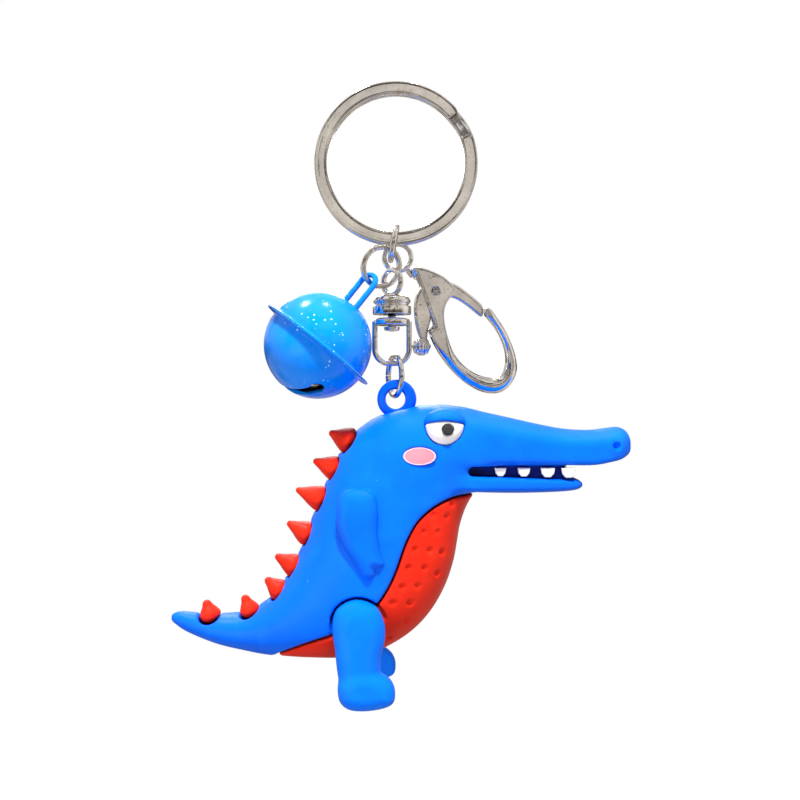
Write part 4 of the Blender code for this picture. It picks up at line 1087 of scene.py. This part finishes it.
def cheek(side, word):
    """An oval button with a pale raised rim."""
    disc = softened([(0, 7.7), (0.72, 7.9), (0.97, 8.9), (1.0, 9.55), (0.975, 9.84), (0.945, 9.88),
                     (0.91, 9.80), (0.45, 9.86), (0, 9.89)], 0.08, 3)
    verts, faces = lathe(disc, (0, 0, 0), (0, side, 0), 96)
    verts = [(CHEEK[0] + x * CHEEK_RADII[0], y, CHEEK[2] + z * CHEEK_RADII[2]) for x, y, z in verts]
    work = new_object("work", verts, faces)
    spots = points_of(work)
    radius = np.hypot((spots[:, 0] - CHEEK[0]) / CHEEK_RADII[0], (spots[:, 2] - CHEEK[2]) / CHEEK_RADII[2])
    weight(work, "rim", step(radius, 0.90, 0.92))
    finish_piece(work, f"{word}_cheek", PINK, 60)


# Each tooth's middle, half width, inner face and length.
TEETH = [(18.7, 1.05, 5.6, 1.55), (22.9, 1.15, 5.5, 1.6), (27.2, 1.3, 5.35, 1.75), (30.9, 1.3, 5.35, 1.85)]
GUM = -68.15


def tooth(side, name, x0, half, inner, long):
    outline = [(x0 + half * a, GUM - long * b)
               for a, b in ((-1, 0), (1, 0), (0.84, 0.62), (0.4, 0.97), (-0.4, 0.97), (-0.84, 0.62))]
    field = Field(*on_side((x0 - half - 0.5, inner - 0.5, GUM - long - 0.5),
                           (x0 + half + 0.5, inner + 1.8, GUM + 0.5), side), 0.06)
    field.add(lambda x, y, z: rounded(outline_distance(outline, x, z) + 0 * y,
                                      np.abs(np.abs(y) - inner - 0.55) - 0.55, 0.3))
    finish_piece(carved(field, 2), name, WHITE, 180)


crocodile_body()
belly()
for number, spike in enumerate(SPIKES, 1):
    finish_piece(spike_mesh(*spike), f"back_spike_{number}", RED, 180)
for side, word in SIDES:
    leg(side, word)
hanging_loop()
for side, word in SIDES:
    eye(side, word)
    cheek(side, word)
for side, word in SIDES:
    for number, row in enumerate(TEETH, 1):
        tooth(side, f"{word}_tooth_{number}", *row)

# ---------------------------------------------------------------- floor, light and camera
FLOOR_Z = -0.260


def floor():
    """A plain pale disc, far below the hanging feet, that fades out towards its edge."""
    verts, faces = lathe([(0, 0), (0.9, 0)], (0, 0, FLOOR_Z), (0, 0, -1), 48)
    mesh = bpy.data.meshes.new("floor")
    mesh.from_pydata(verts, [], faces)
    made = bpy.data.objects.new("floor", mesh)
    bpy.context.scene.collection.objects.link(made)
    tree = Tree(bpy.data.materials.new("floor"))
    tree.settings(Roughness=0.9, Emission_Color=(1.0, 1.0, 1.0, 1.0), Emission_Strength=0.6)
    distance = tree.node("VectorMath", tree.coordinates)
    distance.operation = "LENGTH"
    shown = tree.spread(distance.outputs["Value"], 0.22, 0.6, 1.0, 0.0)
    from_above = tree.spread(tree.node("NewGeometry").outputs["Backfacing"], 0.0, 1.0, 1.0, 0.0)
    tree.links.new(tree.times(shown, from_above), tree.shader.inputs["Alpha"])
    colour = tree.mix(tree.spread(tree.noise(30, 3.0), 0.3, 0.7), (0.90, 0.90, 0.90), (0.93, 0.93, 0.93))
    mesh.materials.append(tree.wire(colour))
    made.visible_glossy = made.visible_diffuse = False


def area_light(name, place, aim, size, watts, colour=(1, 1, 1)):
    data = bpy.data.lights.new(name, "AREA")
    data.shape, data.size, data.size_y = "RECTANGLE", size[0], size[1]
    data.energy, data.color = watts, colour
    made = bpy.data.objects.new(name, data)
    bpy.context.scene.collection.objects.link(made)
    made.location = place
    made.rotation_euler = (Vector(aim) - Vector(place)).to_track_quat("-Z", "Y").to_euler()
    made.visible_camera = False
    return made


# The room's shades from straight down to straight up.
ROOM = [(0.0, (0.42, 0.33, 0.28)), (0.30, (0.72, 0.66, 0.60)), (0.41, (0.70, 0.66, 0.62)),
        (0.455, (0.10, 0.08, 0.07)), (0.51, (0.14, 0.12, 0.11)), (0.55, (0.80, 0.76, 0.70)),
        (0.66, (0.84, 0.80, 0.76)), (0.735, (0.16, 0.14, 0.13)), (0.79, (1.0, 1.0, 1.0)),
        (1.0, (1.0, 1.0, 1.0))]


def studio():
    """A patchy warm room for the metal to mirror, brighter to either side, and plain white to look at."""
    bpy.context.scene.world = bpy.data.worlds.new("studio")
    tree = Tree(bpy.context.scene.world, "Generated")
    nodes, links = tree.nodes, tree.links
    ray = tree.node("LightPath").outputs
    split = tree.node("SeparateXYZ", tree.coordinates).outputs
    ramp = tree.node("ValToRGB", tree.spread(split["Z"], -1.0, 1.0))
    while len(ramp.color_ramp.elements) < len(ROOM):
        ramp.color_ramp.elements.new(0.5)
    for element, (spot, colour) in zip(ramp.color_ramp.elements, ROOM):
        element.position, element.color = spot, (*colour, 1.0)
    patches = tree.spread(tree.noise(3.4, 1.0), 0.42, 0.50, 0.22, 1.05)
    room = tree.node("VectorMath", ramp.outputs["Color"])
    room.operation = "SCALE"
    links.new(patches, room.inputs["Scale"])
    aside = tree.spread(tree.math("ABSOLUTE", split["Y"]), 0.52, 0.22, 0.0, 0.8)
    bright = tree.mix(tree.times(aside, ray["Is Glossy Ray"]), room.outputs["Vector"], (1.15, 1.10, 1.04))
    lit = tree.node("Background", Color=bright, Strength=0.85).outputs["Background"]
    seen = tree.node("Background", Color=(1.0, 1.0, 1.0, 1.0)).outputs["Background"]
    pick = tree.node("MixShader", ray["Is Camera Ray"], lit, seen)
    links.new(pick.outputs["Shader"], nodes["World Output"].inputs["Surface"])


floor()
studio()
area_light("key", (-0.115, 0.05, 0.28), (0.0, 0.0, -0.06), (0.07, 0.05), 0.5)
area_light("lamp", (0.05, 0.03, 0.29), (0.0, 0.0, -0.06), (0.035, 0.03), 0.2)
area_light("front", (0.02, -0.21, 0.28), (0.0, 0.0, -0.07), (0.05, 0.04), 3.1).visible_glossy = False
area_light("low", (0.16, -0.30, -0.22), (0.0, 0.0, -0.08), (0.20, 0.12), 0.45).visible_glossy = False
area_light("left", (-0.24, -0.26, -0.12), (-0.02, 0.0, -0.06), (0.20, 0.16), 0.6).visible_glossy = False
area_light("back", (-0.05, 0.30, 0.10), (0.0, 0.0, -0.06), (0.20, 0.14), 0.4)

camera = bpy.data.objects.new("camera", bpy.data.cameras.new("camera"))
bpy.context.scene.collection.objects.link(camera)
camera.location = (0.00074, -0.220, -0.05602)
camera.rotation_euler = (math.radians(90), 0, 0)
camera.data.lens = 53.8
camera.data.clip_start, camera.data.clip_end = 0.005, 20.0
bpy.context.scene.camera = camera
bpy.context.scene.view_settings.view_transform = "Standard"
